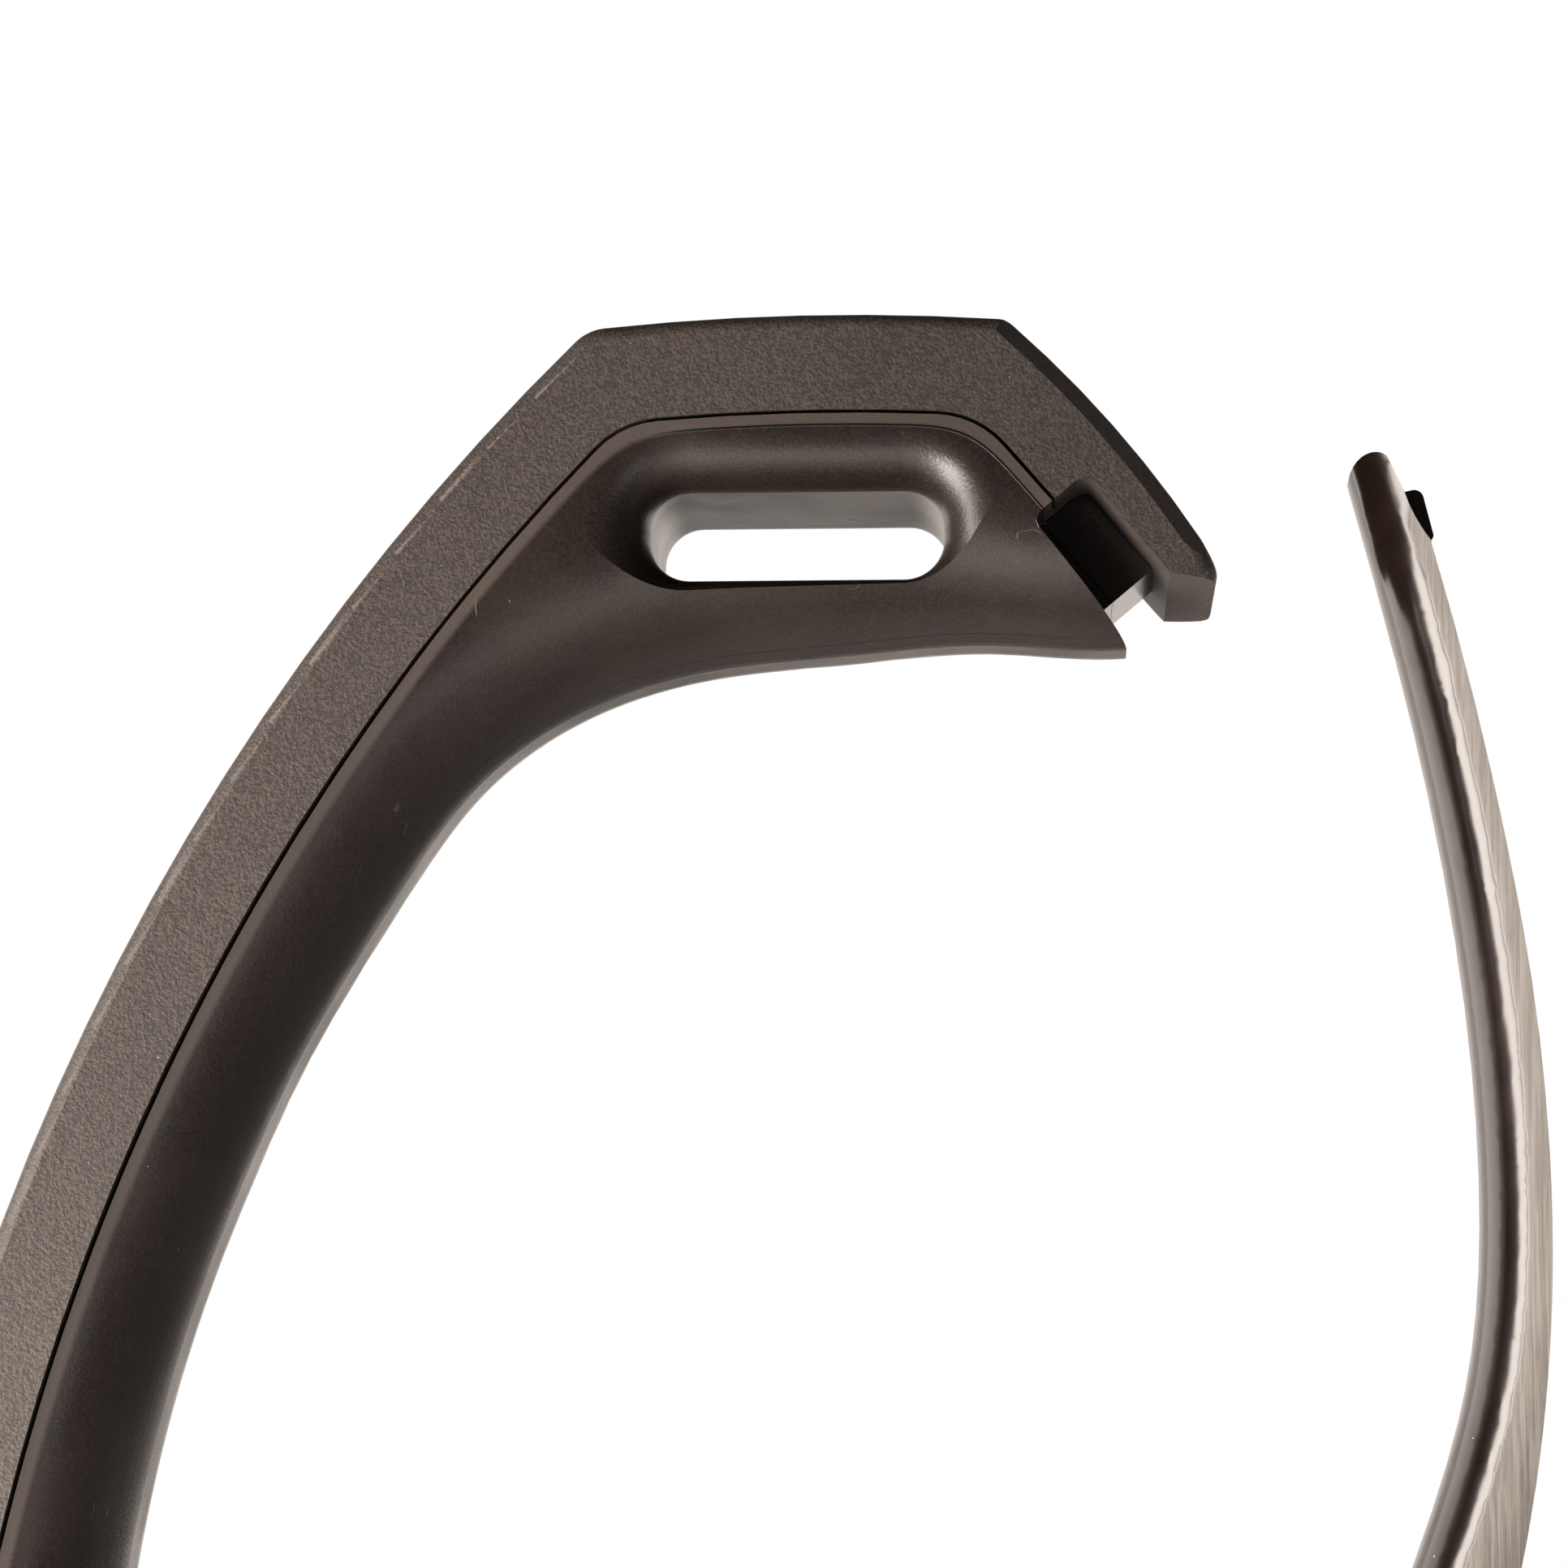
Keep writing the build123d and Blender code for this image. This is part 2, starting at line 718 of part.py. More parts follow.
def blade_front():
    """The blade's inner line from its root up to the tip, facing the mast."""
    start_tangent = (-sin(radians(blade_blend_angle)), cos(radians(blade_blend_angle)))
    with BuildLine() as line:
        RadiusArc(blade_root_inner, blade_inner_start, -blade_inner_radius)
        Spline(
            blade_inner_start,
            *blade_front_points,
            tangents=(start_tangent, blade_tip_tangent),
        )
    return line.line


def blade_outline():
    """Side view of the blade with its scooped tip, down to the middle of its eye."""
    back_start = (
        blade_center[0] + blade_lower_radius * cos(radians(blade_root_angle)),
        blade_center[1] + blade_lower_radius * sin(radians(blade_root_angle)),
    )
    back_crest = (blade_reach, blade_crest_z)
    tip_front = blade_front_points[-1]
    with BuildSketch() as outline:
        with BuildLine():
            add(blade_front())
            ThreePointArc(tip_front, blade_dome, blade_shoulder_top)
            Line(blade_shoulder_top, blade_shoulder)
            ThreePointArc(blade_shoulder, blade_scoop, blade_scoop_end)
            lower = RadiusArc(back_start, back_crest, -blade_lower_radius)
            middle = TangentArc(back_crest, blade_back_middle, tangent=lower % 1)
            TangentArc(blade_back_middle, blade_scoop_end, tangent=middle % 1)
            Line(back_start, blade_root_inner)
        make_face()
    return outline.sketch


def catch_outline(growth):
    """Side view of the small catch behind the blade's tip, grown by growth."""
    low, high = catch_low, catch_high
    with BuildSketch() as outline:
        with BuildLine():
            Polyline(
                (low[0] - catch_thickness, low[1] - 1),
                (high[0] - catch_thickness, high[1] - 1),
                high,
                low,
                close=True,
            )
        make_face()
        fillet(outline.vertices().sort_by(Axis.Y)[-2:], 1.2)
        if growth:
            offset(amount=growth)
    return outline.sketch


with BuildPart() as blade_roll:
    # a wide block whose two inner edges are rounded, cut to the blade's outline afterwards
    tip_front = blade_front_points[-1]
    block_tip = (
        tip_front[0] + 30 * blade_tip_tangent[0],
        tip_front[1] + 30 * blade_tip_tangent[1],
    )
    with BuildSketch(side):
        with BuildLine():
            add(blade_front())
            Line(tip_front, block_tip)
            Polyline(
                block_tip,
                (blade_reach + 30, block_tip[1]),
                (blade_reach + 30, blade_root_inner[1] - 40),
                (blade_root_inner[0], blade_root_inner[1] - 40),
                blade_root_inner,
            )
        make_face()
    extrude(amount=blade_depth / 2, both=True)
    fillet(
        [
            edge
            for edge in flat_edges(blade_roll)
            if edge.center().X < load_line_x + blade_reach + 5
            and blade_root_inner[1] + 1 < edge.center().Z < block_tip[1] - 1
        ],
        blade_depth / 2 - seat_clearance,
    )

with BuildPart() as rear_blade:
    with BuildSketch(side):
        add(blade_outline())
    extrude(amount=blade_depth / 2, both=True)
    add(blade_roll.part, mode=Mode.INTERSECT)
    # shallow channel down the back
    with BuildSketch(side):
        add(blade_outline())
        add(
            blade_outline().moved(Location((-blade_channel_depth, 0.3, 0))), mode=Mode.SUBTRACT
        )
        add(half_plane(*blade_channel_heights), mode=Mode.INTERSECT)
        with BuildLine():
            Polyline((0, 150), (blade_reach - 20, 300), (0, 450), close=True)
        make_face(mode=Mode.SUBTRACT)
    extrude(amount=blade_channel_width / 2, both=True, mode=Mode.SUBTRACT)
    # eye and tail
    with BuildSketch(side):
        with Locations(blade_eye):
            Circle(blade_eye_radius)
    extrude(amount=blade_depth / 2, both=True)
    with BuildSketch(side):
        add(tail_rectangle(0, blade_tail_length, -tail_under, tail_under))
    extrude(amount=blade_tail_half_width, both=True)
    with BuildSketch(side):
        with Locations(blade_eye):
            Circle(blade_bush_radius)
    extrude(amount=half_depth, both=True, mode=Mode.SUBTRACT)
    # seat for the catch
    with BuildSketch(side):
        add(catch_outline(seat_clearance))
    extrude(amount=catch_half_width + seat_clearance, both=True, mode=Mode.SUBTRACT)
save(rear_blade, "rear_blade")

with BuildPart() as tip_catch:
    with BuildSketch(side):
        add(catch_outline(0))
    extrude(amount=catch_half_width, both=True)
    fillet(tip_catch.edges().filter_by(GeomType.LINE).group_by(Axis.X)[-1], 0.6)
save(tip_catch, "tip_catch")


def groove_places(start, end):
    """Evenly spaced grooves of a tread between two distances from the load line."""
    count = max(2, round((end - start) / tread_groove_pitch))
    return [start + step * (end - start) / count for step in range(count + 1)]


def bar(name, point, radius, half_length, bore=0.0):
    """A straight pin or tube across the leg about a point of the side view."""
    with BuildPart() as piece:
        with BuildSketch(side):
            with Locations(point):
                Circle(radius)
                if bore:
                    Circle(bore, mode=Mode.SUBTRACT)
        extrude(amount=half_length, both=True)
        chamfer(piece.edges().filter_by(GeomType.CIRCLE).group_by(Axis.Y)[0], pin_chamfer)
        chamfer(piece.edges().filter_by(GeomType.CIRCLE).group_by(Axis.Y)[-1], pin_chamfer)
    save(piece, name)
    return piece


blade_bush = bar(
    "blade_bush", blade_eye, blade_bush_radius, blade_depth / 2, blade_pin_radius + running_clearance
)

with BuildPart() as blade_pin:
    with BuildSketch(side):
        with Locations(blade_eye):
            Circle(blade_pin_radius)
    extrude(amount=half_depth + clip_thickness + 1.8, both=True)
    chamfer(blade_pin.edges().filter_by(GeomType.CIRCLE), pin_chamfer)
    for facing in (-1, 1):
        with BuildSketch(side_plane(facing * half_depth)):
            with Locations(blade_eye):
                Circle(blade_pin_radius + 1)
                Circle(blade_pin_radius - clip_groove, mode=Mode.SUBTRACT)
        extrude(amount=-facing * clip_thickness, mode=Mode.SUBTRACT)
save(blade_pin, "blade_pin")

with BuildPart() as blade_clips:
    for facing in (-1, 1):
        with BuildSketch(side_plane(facing * half_depth)):
            with Locations(blade_eye):
                Circle(clip_radius)
                Circle(blade_pin_radius - clip_groove, mode=Mode.SUBTRACT)
            with Locations((blade_eye[0], blade_eye[1] - clip_radius)):
                Rectangle(clip_mouth, 2 * clip_radius, mode=Mode.SUBTRACT)
        extrude(amount=-facing * clip_thickness)
save(blade_clips, "blade_clips")

with BuildPart() as blade_bumper:
    with BuildSketch(side):
        add(
            tail_rectangle(
                blade_tail_length - 12, blade_tail_length, bumper_top,
                bumper_top + blade_bumper_thickness,
            )
        )
    extrude(amount=blade_tail_half_width, both=True)
    chamfer(blade_bumper.edges().group_by(Axis.Z)[-1], 0.8)
save(blade_bumper, "blade_bumper")

# ---------------------------------------------------------------- ankle
ankle_place = side.from_local_coords(Vector(*ankle_point))

with BuildPart() as ankle_axle:
    with BuildSketch(side):
        with Locations(ankle_point):
            Circle(axle_radius)
    extrude(amount=lug_outer, both=True)
    for facing in (-1, 1):
        with BuildSketch(side_plane(facing * lug_outer)):
            with Locations(ankle_point):
                Circle(axle_screw_radius)
        extrude(amount=facing * axle_screw_length, mode=Mode.SUBTRACT)
save(ankle_axle, "ankle_axle")

with BuildPart() as ankle_bushes:
    for facing in (-1, 1):
        with BuildSketch(side_plane(facing * knuckle_half_width)):
            with Locations(ankle_point):
                Circle(ankle_bush_radius)
                Circle(axle_radius + running_clearance, mode=Mode.SUBTRACT)
        extrude(amount=facing * ankle_bush_length)
        with BuildSketch(side_plane(facing * knuckle_half_width)):
            with Locations(ankle_point):
                Circle(ankle_flange_radius)
                Circle(axle_radius + running_clearance, mode=Mode.SUBTRACT)
        extrude(amount=-facing * ankle_flange_thickness)
save(ankle_bushes, "ankle_bushes")

with BuildPart() as axle_screws:
    for facing in (-1, 1):
        with BuildSketch(side_plane(facing * lug_outer)):
            with Locations(ankle_point):
                Circle(axle_head_radius)
        extrude(amount=-facing * axle_head_height)
        with BuildSketch(side_plane(facing * lug_outer)):
            with Locations(ankle_point):
                Circle(axle_screw_radius)
        extrude(amount=facing * (axle_screw_length - 1))
        with BuildSketch(side_plane(facing * (lug_outer + axle_head_height))):
            with Locations(ankle_point):
                RegularPolygon(2.3, 6)
        extrude(amount=facing * 2.2, mode=Mode.SUBTRACT)
    outer_rims = [
        edge
        for edge in axle_screws.edges().filter_by(GeomType.CIRCLE)
        if abs(edge.radius - axle_head_radius) < 0.01 and abs(edge.center().Y) > lug_outer + 1
    ]
    fillet(outer_rims, 1.4)
save(axle_screws, "axle_screws")

# ---------------------------------------------------------------- foot
seat_height = ankle_point[1] - 12.0
bumper_places = (ankle_point[0] - bumper_offset, ankle_point[0] + bumper_offset)
bumper_reach = bumper_offset + bumper_radius
bumper_crown = housing_bottom - bumper_reach * tan(radians(ankle_travel)) - 2 * stop_gap


def foot_plan(inset):
    """Plan view of the foot: round toe, broad forefoot, slimmer heel."""
    forefoot = foot_width / 2 - inset
    heel = heel_width / 2 - inset
    toe = load_line_x + toe_x + inset
    ball = load_line_x + toe_at(0.55)
    arch = load_line_x + leaf_eye[0] + 27
    back = load_line_x + heel_reach - inset
    with BuildSketch() as plan:
        with BuildLine():
            for hand in (-1, 1):
                Spline(
                    (toe, 0),
                    (load_line_x + toe_at(0.18), hand * forefoot * 0.80),
                    (ball, hand * forefoot),
                    tangents=((0, hand), (1, 0)),
                )
                Spline(
                    (ball, hand * forefoot),
                    (arch, hand * heel),
                    tangents=((1, 0), (1, 0)),
                )
                Line((arch, hand * heel), (back - 18, hand * heel))
                Spline(
                    (back - 18, hand * heel),
                    (back - 5, hand * heel * 0.68),
                    (back, 0),
                    tangents=((1, 0), (0, -hand)),
                )
        make_face()
    return plan.sketch


def keel_outline():
    """Side view of the foot's keel: forefoot, ankle lugs and the arm over the heel."""
    x, z = ankle_point
    front, rear = bumper_places
    with BuildSketch() as outline:
        with BuildLine():
            Spline(
                (toe_x, tread_thickness + 9),
                (toe_at(0.23), tread_thickness),
                (toe_at(0.53), tread_thickness),
                tangents=((0.35, -1), (1, 0)),
            )
            Polyline(
                (toe_at(0.53), tread_thickness),
                (forefoot_end, tread_thickness),
                (leaf_eye[0] - 7, leaf_eye[1] - 11),
                (leaf_eye[0] + 9, leaf_eye[1] - 11),
                (leaf_eye[0] + 16, keel_underside),
                (keel_back, keel_underside + 3),
                (keel_back + 2, keel_underside + 12),
                (rear + bumper_radius + 4, seat_height),
                (x + lug_radius, seat_height),
                (x + lug_radius, z),
                (x - lug_radius, z),
                (x - lug_radius, seat_height),
                (front - bumper_radius - 4, seat_height),
            )
            Spline(
                (front - bumper_radius - 4, seat_height),
                (toe_at(0.58), 30),
                (toe_x + 5, tread_thickness + 15),
                (toe_x, tread_thickness + 9),
                tangents=((-1, -0.35), (-0.2, -1)),
            )
        make_face()
        fillet(outline.vertices().sort_by_distance((keel_back + 2, keel_underside + 12))[0], 4)
        fillet(outline.vertices().sort_by_distance((keel_back, keel_underside + 3))[0], 2)
        fillet(outline.vertices().sort_by_distance((leaf_eye[0] - 7, leaf_eye[1] - 11))[0], 5)
        fillet(outline.vertices().sort_by_distance((leaf_eye[0] + 9, leaf_eye[1] - 11))[0], 5)
        with Locations(ankle_point):
            Circle(lug_radius)
    return outline.sketch


with BuildPart() as foot_keel:
    with BuildSketch(side):
        add(keel_outline())
    extrude(amount=foot_width / 2, both=True)
    with BuildSketch(Plane.XY):
        add(foot_plan(0))
    extrude(amount=seat_height + 60, mode=Mode.INTERSECT)
    # space for the housing's knuckle between the lugs
    with BuildSketch(side):
        with Locations(ankle_point):
            Circle(knuckle_radius + 1.5)
        with Locations((ankle_point[0], ankle_point[1] + 15)):
            Rectangle(2 * lug_radius + 4, 30)
    extrude(amount=lug_inner, both=True, mode=Mode.SUBTRACT)
    # space for the eye of the heel leaf
    with BuildSketch(side):
        with Locations(leaf_eye):
            Circle(leaf_eye_radius + 1)
        with Locations((leaf_eye[0] + 20, keel_underside / 2)):
            Rectangle(40, keel_underside)
    extrude(amount=leaf_half_width + leaf_gap, both=True, mode=Mode.SUBTRACT)
    with BuildSketch(side):
        with Locations(ankle_point):
            Circle(axle_radius)
        with Locations(leaf_eye):
            Circle(leaf_pin_radius)
    extrude(amount=foot_width, both=True, mode=Mode.SUBTRACT)
    for place in bumper_places:
        with BuildSketch(Plane((load_line_x + place, 0, seat_height))):
            Circle(bumper_radius + seat_clearance)
        extrude(amount=-bumper_cup_depth, mode=Mode.SUBTRACT)
save(foot_keel, "foot_keel")


def bumper(name, x, base, radius, height):
    """A domed elastomer stop that stands on a seat."""
    with BuildPart() as piece:
        with BuildSketch(Plane((load_line_x + x, 0, base))):
            Circle(radius)
        extrude(amount=height)
        fillet(piece.edges().group_by(Axis.Z)[-1], min(3.0, radius / 3))
    save(piece, name)
    return piece


cup_floor = seat_height - bumper_cup_depth
front_bumper = bumper(
    "front_bumper", bumper_places[0], cup_floor, bumper_radius, bumper_crown - cup_floor
)
rear_bumper = bumper(
    "rear_bumper", bumper_places[1], cup_floor, bumper_radius, bumper_crown - cup_floor
)

# ---------------------------------------------------------------- heel
leaf_middle = tread_thickness + leaf_thickness / 2
leaf_top = tread_thickness + leaf_thickness

with BuildPart() as heel_leaf:
    with BuildSketch(side):
        with BuildLine():
            Spline(
                leaf_eye,
                (leaf_eye[0] + 34, leaf_middle + 6.6),
                (leaf_flat_x, leaf_middle),
                tangents=((1, -0.3), (1, 0)),
            )
            Line((leaf_flat_x, leaf_middle), (heel_reach, leaf_middle))
        trace(line_width=leaf_thickness)
    extrude(amount=heel_width / 2, both=True)
    with BuildSketch(Plane.XY):
        back = load_line_x + heel_reach
        eye_x = load_line_x + leaf_eye[0]
        heel = heel_width / 2 - 1
        with BuildLine():
            for hand in (-1, 1):
                Polyline(
                    (eye_x - 20, 0),
                    (eye_x - 20, hand * leaf_half_width),
                    (eye_x + 26, hand * leaf_half_width),
                )
                Spline(
                    (eye_x + 26, hand * leaf_half_width),
                    (eye_x + 60, hand * heel),
                    tangents=((1, 0), (1, 0)),
                )
                Line((eye_x + 60, hand * heel), (back - 18, hand * heel))
                Spline(
                    (back - 18, hand * heel),
                    (back - 5, hand * heel * 0.68),
                    (back, 0),
                    tangents=((1, 0), (0, -hand)),
                )
        make_face()
    extrude(amount=100, mode=Mode.INTERSECT)
    with BuildSketch(side):
        with Locations(leaf_eye):
            Circle(leaf_eye_radius)
    extrude(amount=leaf_half_width, both=True)
    with BuildSketch(side):
        with Locations(leaf_eye):
            Circle(leaf_bush_radius)
    extrude(amount=heel_width, both=True, mode=Mode.SUBTRACT)
save(heel_leaf, "heel_leaf")

leaf_bush = bar(
    "leaf_bush", leaf_eye, leaf_bush_radius, leaf_half_width, leaf_pin_radius + running_clearance
)
leaf_pin = bar("leaf_pin", leaf_eye, leaf_pin_radius, lug_outer - 1)

leaf_rise = (heel_bumper_x + heel_bumper_radius - leaf_eye[0]) * tan(radians(heel_travel))
heel_bumper = bumper(
    "heel_bumper",
    heel_bumper_x,
    leaf_top,
    heel_bumper_radius,
    keel_underside - leaf_rise - 3 * stop_gap - leaf_top,
)

with BuildPart() as heel_tread:
    with BuildSketch(Plane.XY):
        add(foot_plan(1.5))
        with Locations((load_line_x + (leaf_flat_x + heel_reach) / 2, 0)):
            Rectangle(heel_reach - leaf_flat_x, heel_width, mode=Mode.INTERSECT)
    extrude(amount=tread_thickness)
    for place in groove_places(leaf_flat_x + 6, heel_reach - 8):
        with BuildSketch(side):
            with Locations((place, 0)):
                Rectangle(tread_groove, 2 * tread_groove)
        extrude(amount=foot_width, both=True, mode=Mode.SUBTRACT)
save(heel_tread, "heel_tread")

with BuildPart() as forefoot_tread:
    with BuildSketch(side):
        with BuildLine():
            Spline(
                (toe_x + 1, tread_thickness + 7),
                (toe_at(0.24), 0),
                (toe_at(0.53), 0),
                tangents=((0.35, -1), (1, 0)),
            )
            Polyline(
                (toe_at(0.53), 0),
                (forefoot_end - 2, 0),
                (forefoot_end - 2, tread_thickness + 12),
                (toe_x + 1, tread_thickness + 12),
                (toe_x + 1, tread_thickness + 7),
            )
        make_face()
        add(keel_outline(), mode=Mode.SUBTRACT)
    extrude(amount=foot_width / 2, both=True)
    with BuildSketch(Plane.XY):
        add(foot_plan(1))
    extrude(amount=tread_thickness + 5, mode=Mode.INTERSECT)
    for place in groove_places(toe_at(0.28), forefoot_end - 6):
        with BuildSketch(side):
            with Locations((place, 0)):
                Rectangle(tread_groove, 2 * tread_groove)
        extrude(amount=foot_width, both=True, mode=Mode.SUBTRACT)
save(forefoot_tread, "forefoot_tread")
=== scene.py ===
"""Looks of the below-knee prosthetic leg: finishes, small moulded pieces, light and camera.

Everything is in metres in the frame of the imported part: +Z is up, the toes point to -X and Y runs
across the leg. Sizes given in millimetres are turned to metres by `mm`.
"""
import logging
import math
from dataclasses import dataclass
from enum import Enum

import bpy
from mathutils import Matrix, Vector


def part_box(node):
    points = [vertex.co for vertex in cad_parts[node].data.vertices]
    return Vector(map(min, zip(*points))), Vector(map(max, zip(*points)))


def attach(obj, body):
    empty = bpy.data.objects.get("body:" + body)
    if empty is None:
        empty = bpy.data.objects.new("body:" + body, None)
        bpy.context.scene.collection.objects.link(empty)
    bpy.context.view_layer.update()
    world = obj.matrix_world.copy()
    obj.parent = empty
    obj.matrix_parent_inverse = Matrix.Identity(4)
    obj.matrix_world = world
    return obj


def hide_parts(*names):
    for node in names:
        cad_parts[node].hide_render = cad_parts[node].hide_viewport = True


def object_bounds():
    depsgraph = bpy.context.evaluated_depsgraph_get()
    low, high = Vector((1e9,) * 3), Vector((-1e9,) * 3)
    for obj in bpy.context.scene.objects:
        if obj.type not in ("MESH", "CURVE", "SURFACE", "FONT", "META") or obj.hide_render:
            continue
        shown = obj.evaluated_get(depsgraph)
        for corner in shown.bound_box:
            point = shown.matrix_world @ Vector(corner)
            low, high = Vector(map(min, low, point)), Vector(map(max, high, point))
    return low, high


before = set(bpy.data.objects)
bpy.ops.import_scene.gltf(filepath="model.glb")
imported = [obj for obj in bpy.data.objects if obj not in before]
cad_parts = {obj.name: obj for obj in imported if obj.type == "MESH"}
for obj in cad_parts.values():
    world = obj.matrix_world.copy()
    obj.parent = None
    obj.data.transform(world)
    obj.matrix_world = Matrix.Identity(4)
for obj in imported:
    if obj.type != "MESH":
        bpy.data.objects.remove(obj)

CAD_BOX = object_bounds()
LOG = logging.getLogger("leg")
Point = tuple[float, float, float]


def mm(length: float) -> float:
    """Millimetres to metres."""
    return length / 1000.0


class Body(Enum):
    """The moving bodies of the part."""

    SHANK = "shank"
    BLADE = "blade"
    FOOT = "foot"
    HEEL = "heel"


class Grade(Enum):
    """How a soft mask rises between two values of its input."""

    RISING = 1
    FALLING = -1


# ---------------------------------------------------------------- node helpers
def linear(code: str) -> tuple[float, float, float, float]:
    """Turns an sRGB hex colour to linear light.

    Args:
        code: Six hex digits, with or without the leading #.

    Returns:
        Red, green, blue and an alpha of 1.
    """
    digits = code.lstrip("#")
    values = [int(digits[at : at + 2], 16) / 255 for at in (0, 2, 4)]
    parts = [v / 12.92 if v <= 0.04045 else ((v + 0.055) / 1.055) ** 2.4 for v in values]
    return (parts[0], parts[1], parts[2], 1.0)


def node(tree: bpy.types.NodeTree, kind: str, inputs: dict, **settings) -> bpy.types.Node:
    """Adds a node with its settings and its inputs.

    Args:
        tree: The tree it goes in.
        kind: The node's type name without "ShaderNode".
        inputs: Input name or index to a constant, or to an output socket to link.
        **settings: Properties of the node itself.

    Returns:
        The new node.
    """
    made = tree.nodes.new("ShaderNode" + kind)
    for name, value in settings.items():
        setattr(made, name, value)
    for key, value in inputs.items():
        if isinstance(value, bpy.types.NodeSocket):
            tree.links.new(value, made.inputs[key])
        else:
            made.inputs[key].default_value = value
    return made


class Pattern:
    """A material's tree while its patterns are laid out, on Object coordinates."""

    def __init__(self, name: str) -> None:
        """Starts an empty material tree with the coordinates of a point and its normal."""
        self.material = bpy.data.materials.new(name)
        self.material.use_nodes = True
        self.tree = self.material.node_tree
        self.tree.nodes.clear()
        coords = node(self.tree, "TexCoord", {})
        self.place = coords.outputs["Object"]
        self.normal = coords.outputs["Normal"]
        split = node(self.tree, "SeparateXYZ", {0: self.place})
        self.x, self.y, self.z = split.outputs[0], split.outputs[1], split.outputs[2]

    def math(self, operation: str, *values) -> bpy.types.NodeSocket:
        """Result of one Math node over numbers or sockets."""
        return node(self.tree, "Math", dict(enumerate(values)), operation=operation).outputs[0]

    def ramp(self, value, low: float, high: float, grade: Grade = Grade.RISING) -> bpy.types.NodeSocket:
        """A smooth 0 to 1 step of a value.

        Args:
            value: The socket that is measured.
            low: Where the step starts.
            high: Where it is complete.
            grade: Whether the mask rises or falls with the value.

        Returns:
            The mask's socket.
        """
        ends = (0.0, 1.0) if grade is Grade.RISING else (1.0, 0.0)
        made = node(
            self.tree,
            "MapRange",
            {"Value": value, "From Min": low, "From Max": high, "To Min": ends[0], "To Max": ends[1]},
            interpolation_type="SMOOTHSTEP",
        )
        return made.outputs[0]

    def line(self, distance, at: float, width: float) -> bpy.types.NodeSocket:
        """A thin line where a distance field has one value.

        Args:
            distance: Socket with the distance in metres.
            at: The distance at which the line runs.
            width: The line's width in metres.

        Returns:
            A mask that is 1 on the line.
        """
        away = self.math("ABSOLUTE", self.math("SUBTRACT", distance, at))
        return self.ramp(away, width * 0.25, width * 0.75, Grade.FALLING)

    def stretched(self, across: Point) -> bpy.types.NodeSocket:
        """The place with each axis multiplied, for drawn-out patterns."""
        return node(self.tree, "Mapping", {"Vector": self.place, "Scale": across}).outputs[0]

    def noise(
        self, pitch: float, detail: float = 2.0, roughness: float = 0.5, where=None
    ) -> bpy.types.NodeSocket:
        """Noise whose blots are about one pitch apart.

        Args:
            pitch: Distance between blots in metres.
            detail: Octaves.
            roughness: Weight of the finer octaves.
            where: Coordinates, the object's own when left out.

        Returns:
            The noise between 0 and 1.
        """
        made = node(
            self.tree,
            "TexNoise",
            {
                "Vector": self.place if where is None else where,
                "Scale": 1.0 / pitch,
                "Detail": detail,
                "Roughness": roughness,
            },
        )
        return made.outputs[0]

    def specks(self, pitch: float, size: float) -> bpy.types.NodeSocket:
        """Sparse round dots.

        Args:
            pitch: Mean distance between dots in metres.
            size: Radius of a dot in metres.

        Returns:
            A mask that is 1 in the dots.
        """
        made = node(self.tree, "TexVoronoi", {"Vector": self.place, "Scale": 1.0 / pitch})
        return self.ramp(made.outputs["Distance"], size / pitch * 0.6, size / pitch, Grade.FALLING)

    def mix(self, mask, low, high) -> bpy.types.NodeSocket:
        """Colour mix: low where the mask is 0, high where it is 1."""
        return node(
            self.tree, "Mix", {0: mask, 6: low, 7: high}, data_type="RGBA", clamp_factor=True
        ).outputs[2]

    def blend(self, mask, low, high) -> bpy.types.NodeSocket:
        """Number mix: low where the mask is 0, high where it is 1."""
        return node(self.tree, "Mix", {0: mask, 2: low, 3: high}, data_type="FLOAT").outputs[0]

    def bump(self, height, depth: float, strength: float = 1.0, under=None) -> bpy.types.NodeSocket:
        """A bump from a height between 0 and 1.

        Args:
            height: The height's socket.
            depth: Real height of the relief in metres.
            strength: Share of the relief that is applied.
            under: A bump that this one lies on.

        Returns:
            The normal's socket.
        """
        inputs = {"Height": height, "Distance": depth, "Strength": strength}
        if under is not None:
            inputs["Normal"] = under
        return node(self.tree, "Bump", inputs).outputs[0]

    def finish(self, **inputs) -> bpy.types.Material:
        """Closes the tree with a Principled shader.

        Args:
            **inputs: Shader inputs, with _ for the spaces in their names.

        Returns:
            The finished material.
        """
        named = {key.replace("_", " "): value for key, value in inputs.items()}
        shader = node(self.tree, "BsdfPrincipled", named)
        node(self.tree, "OutputMaterial", {"Surface": shader.outputs[0]})
        return self.material


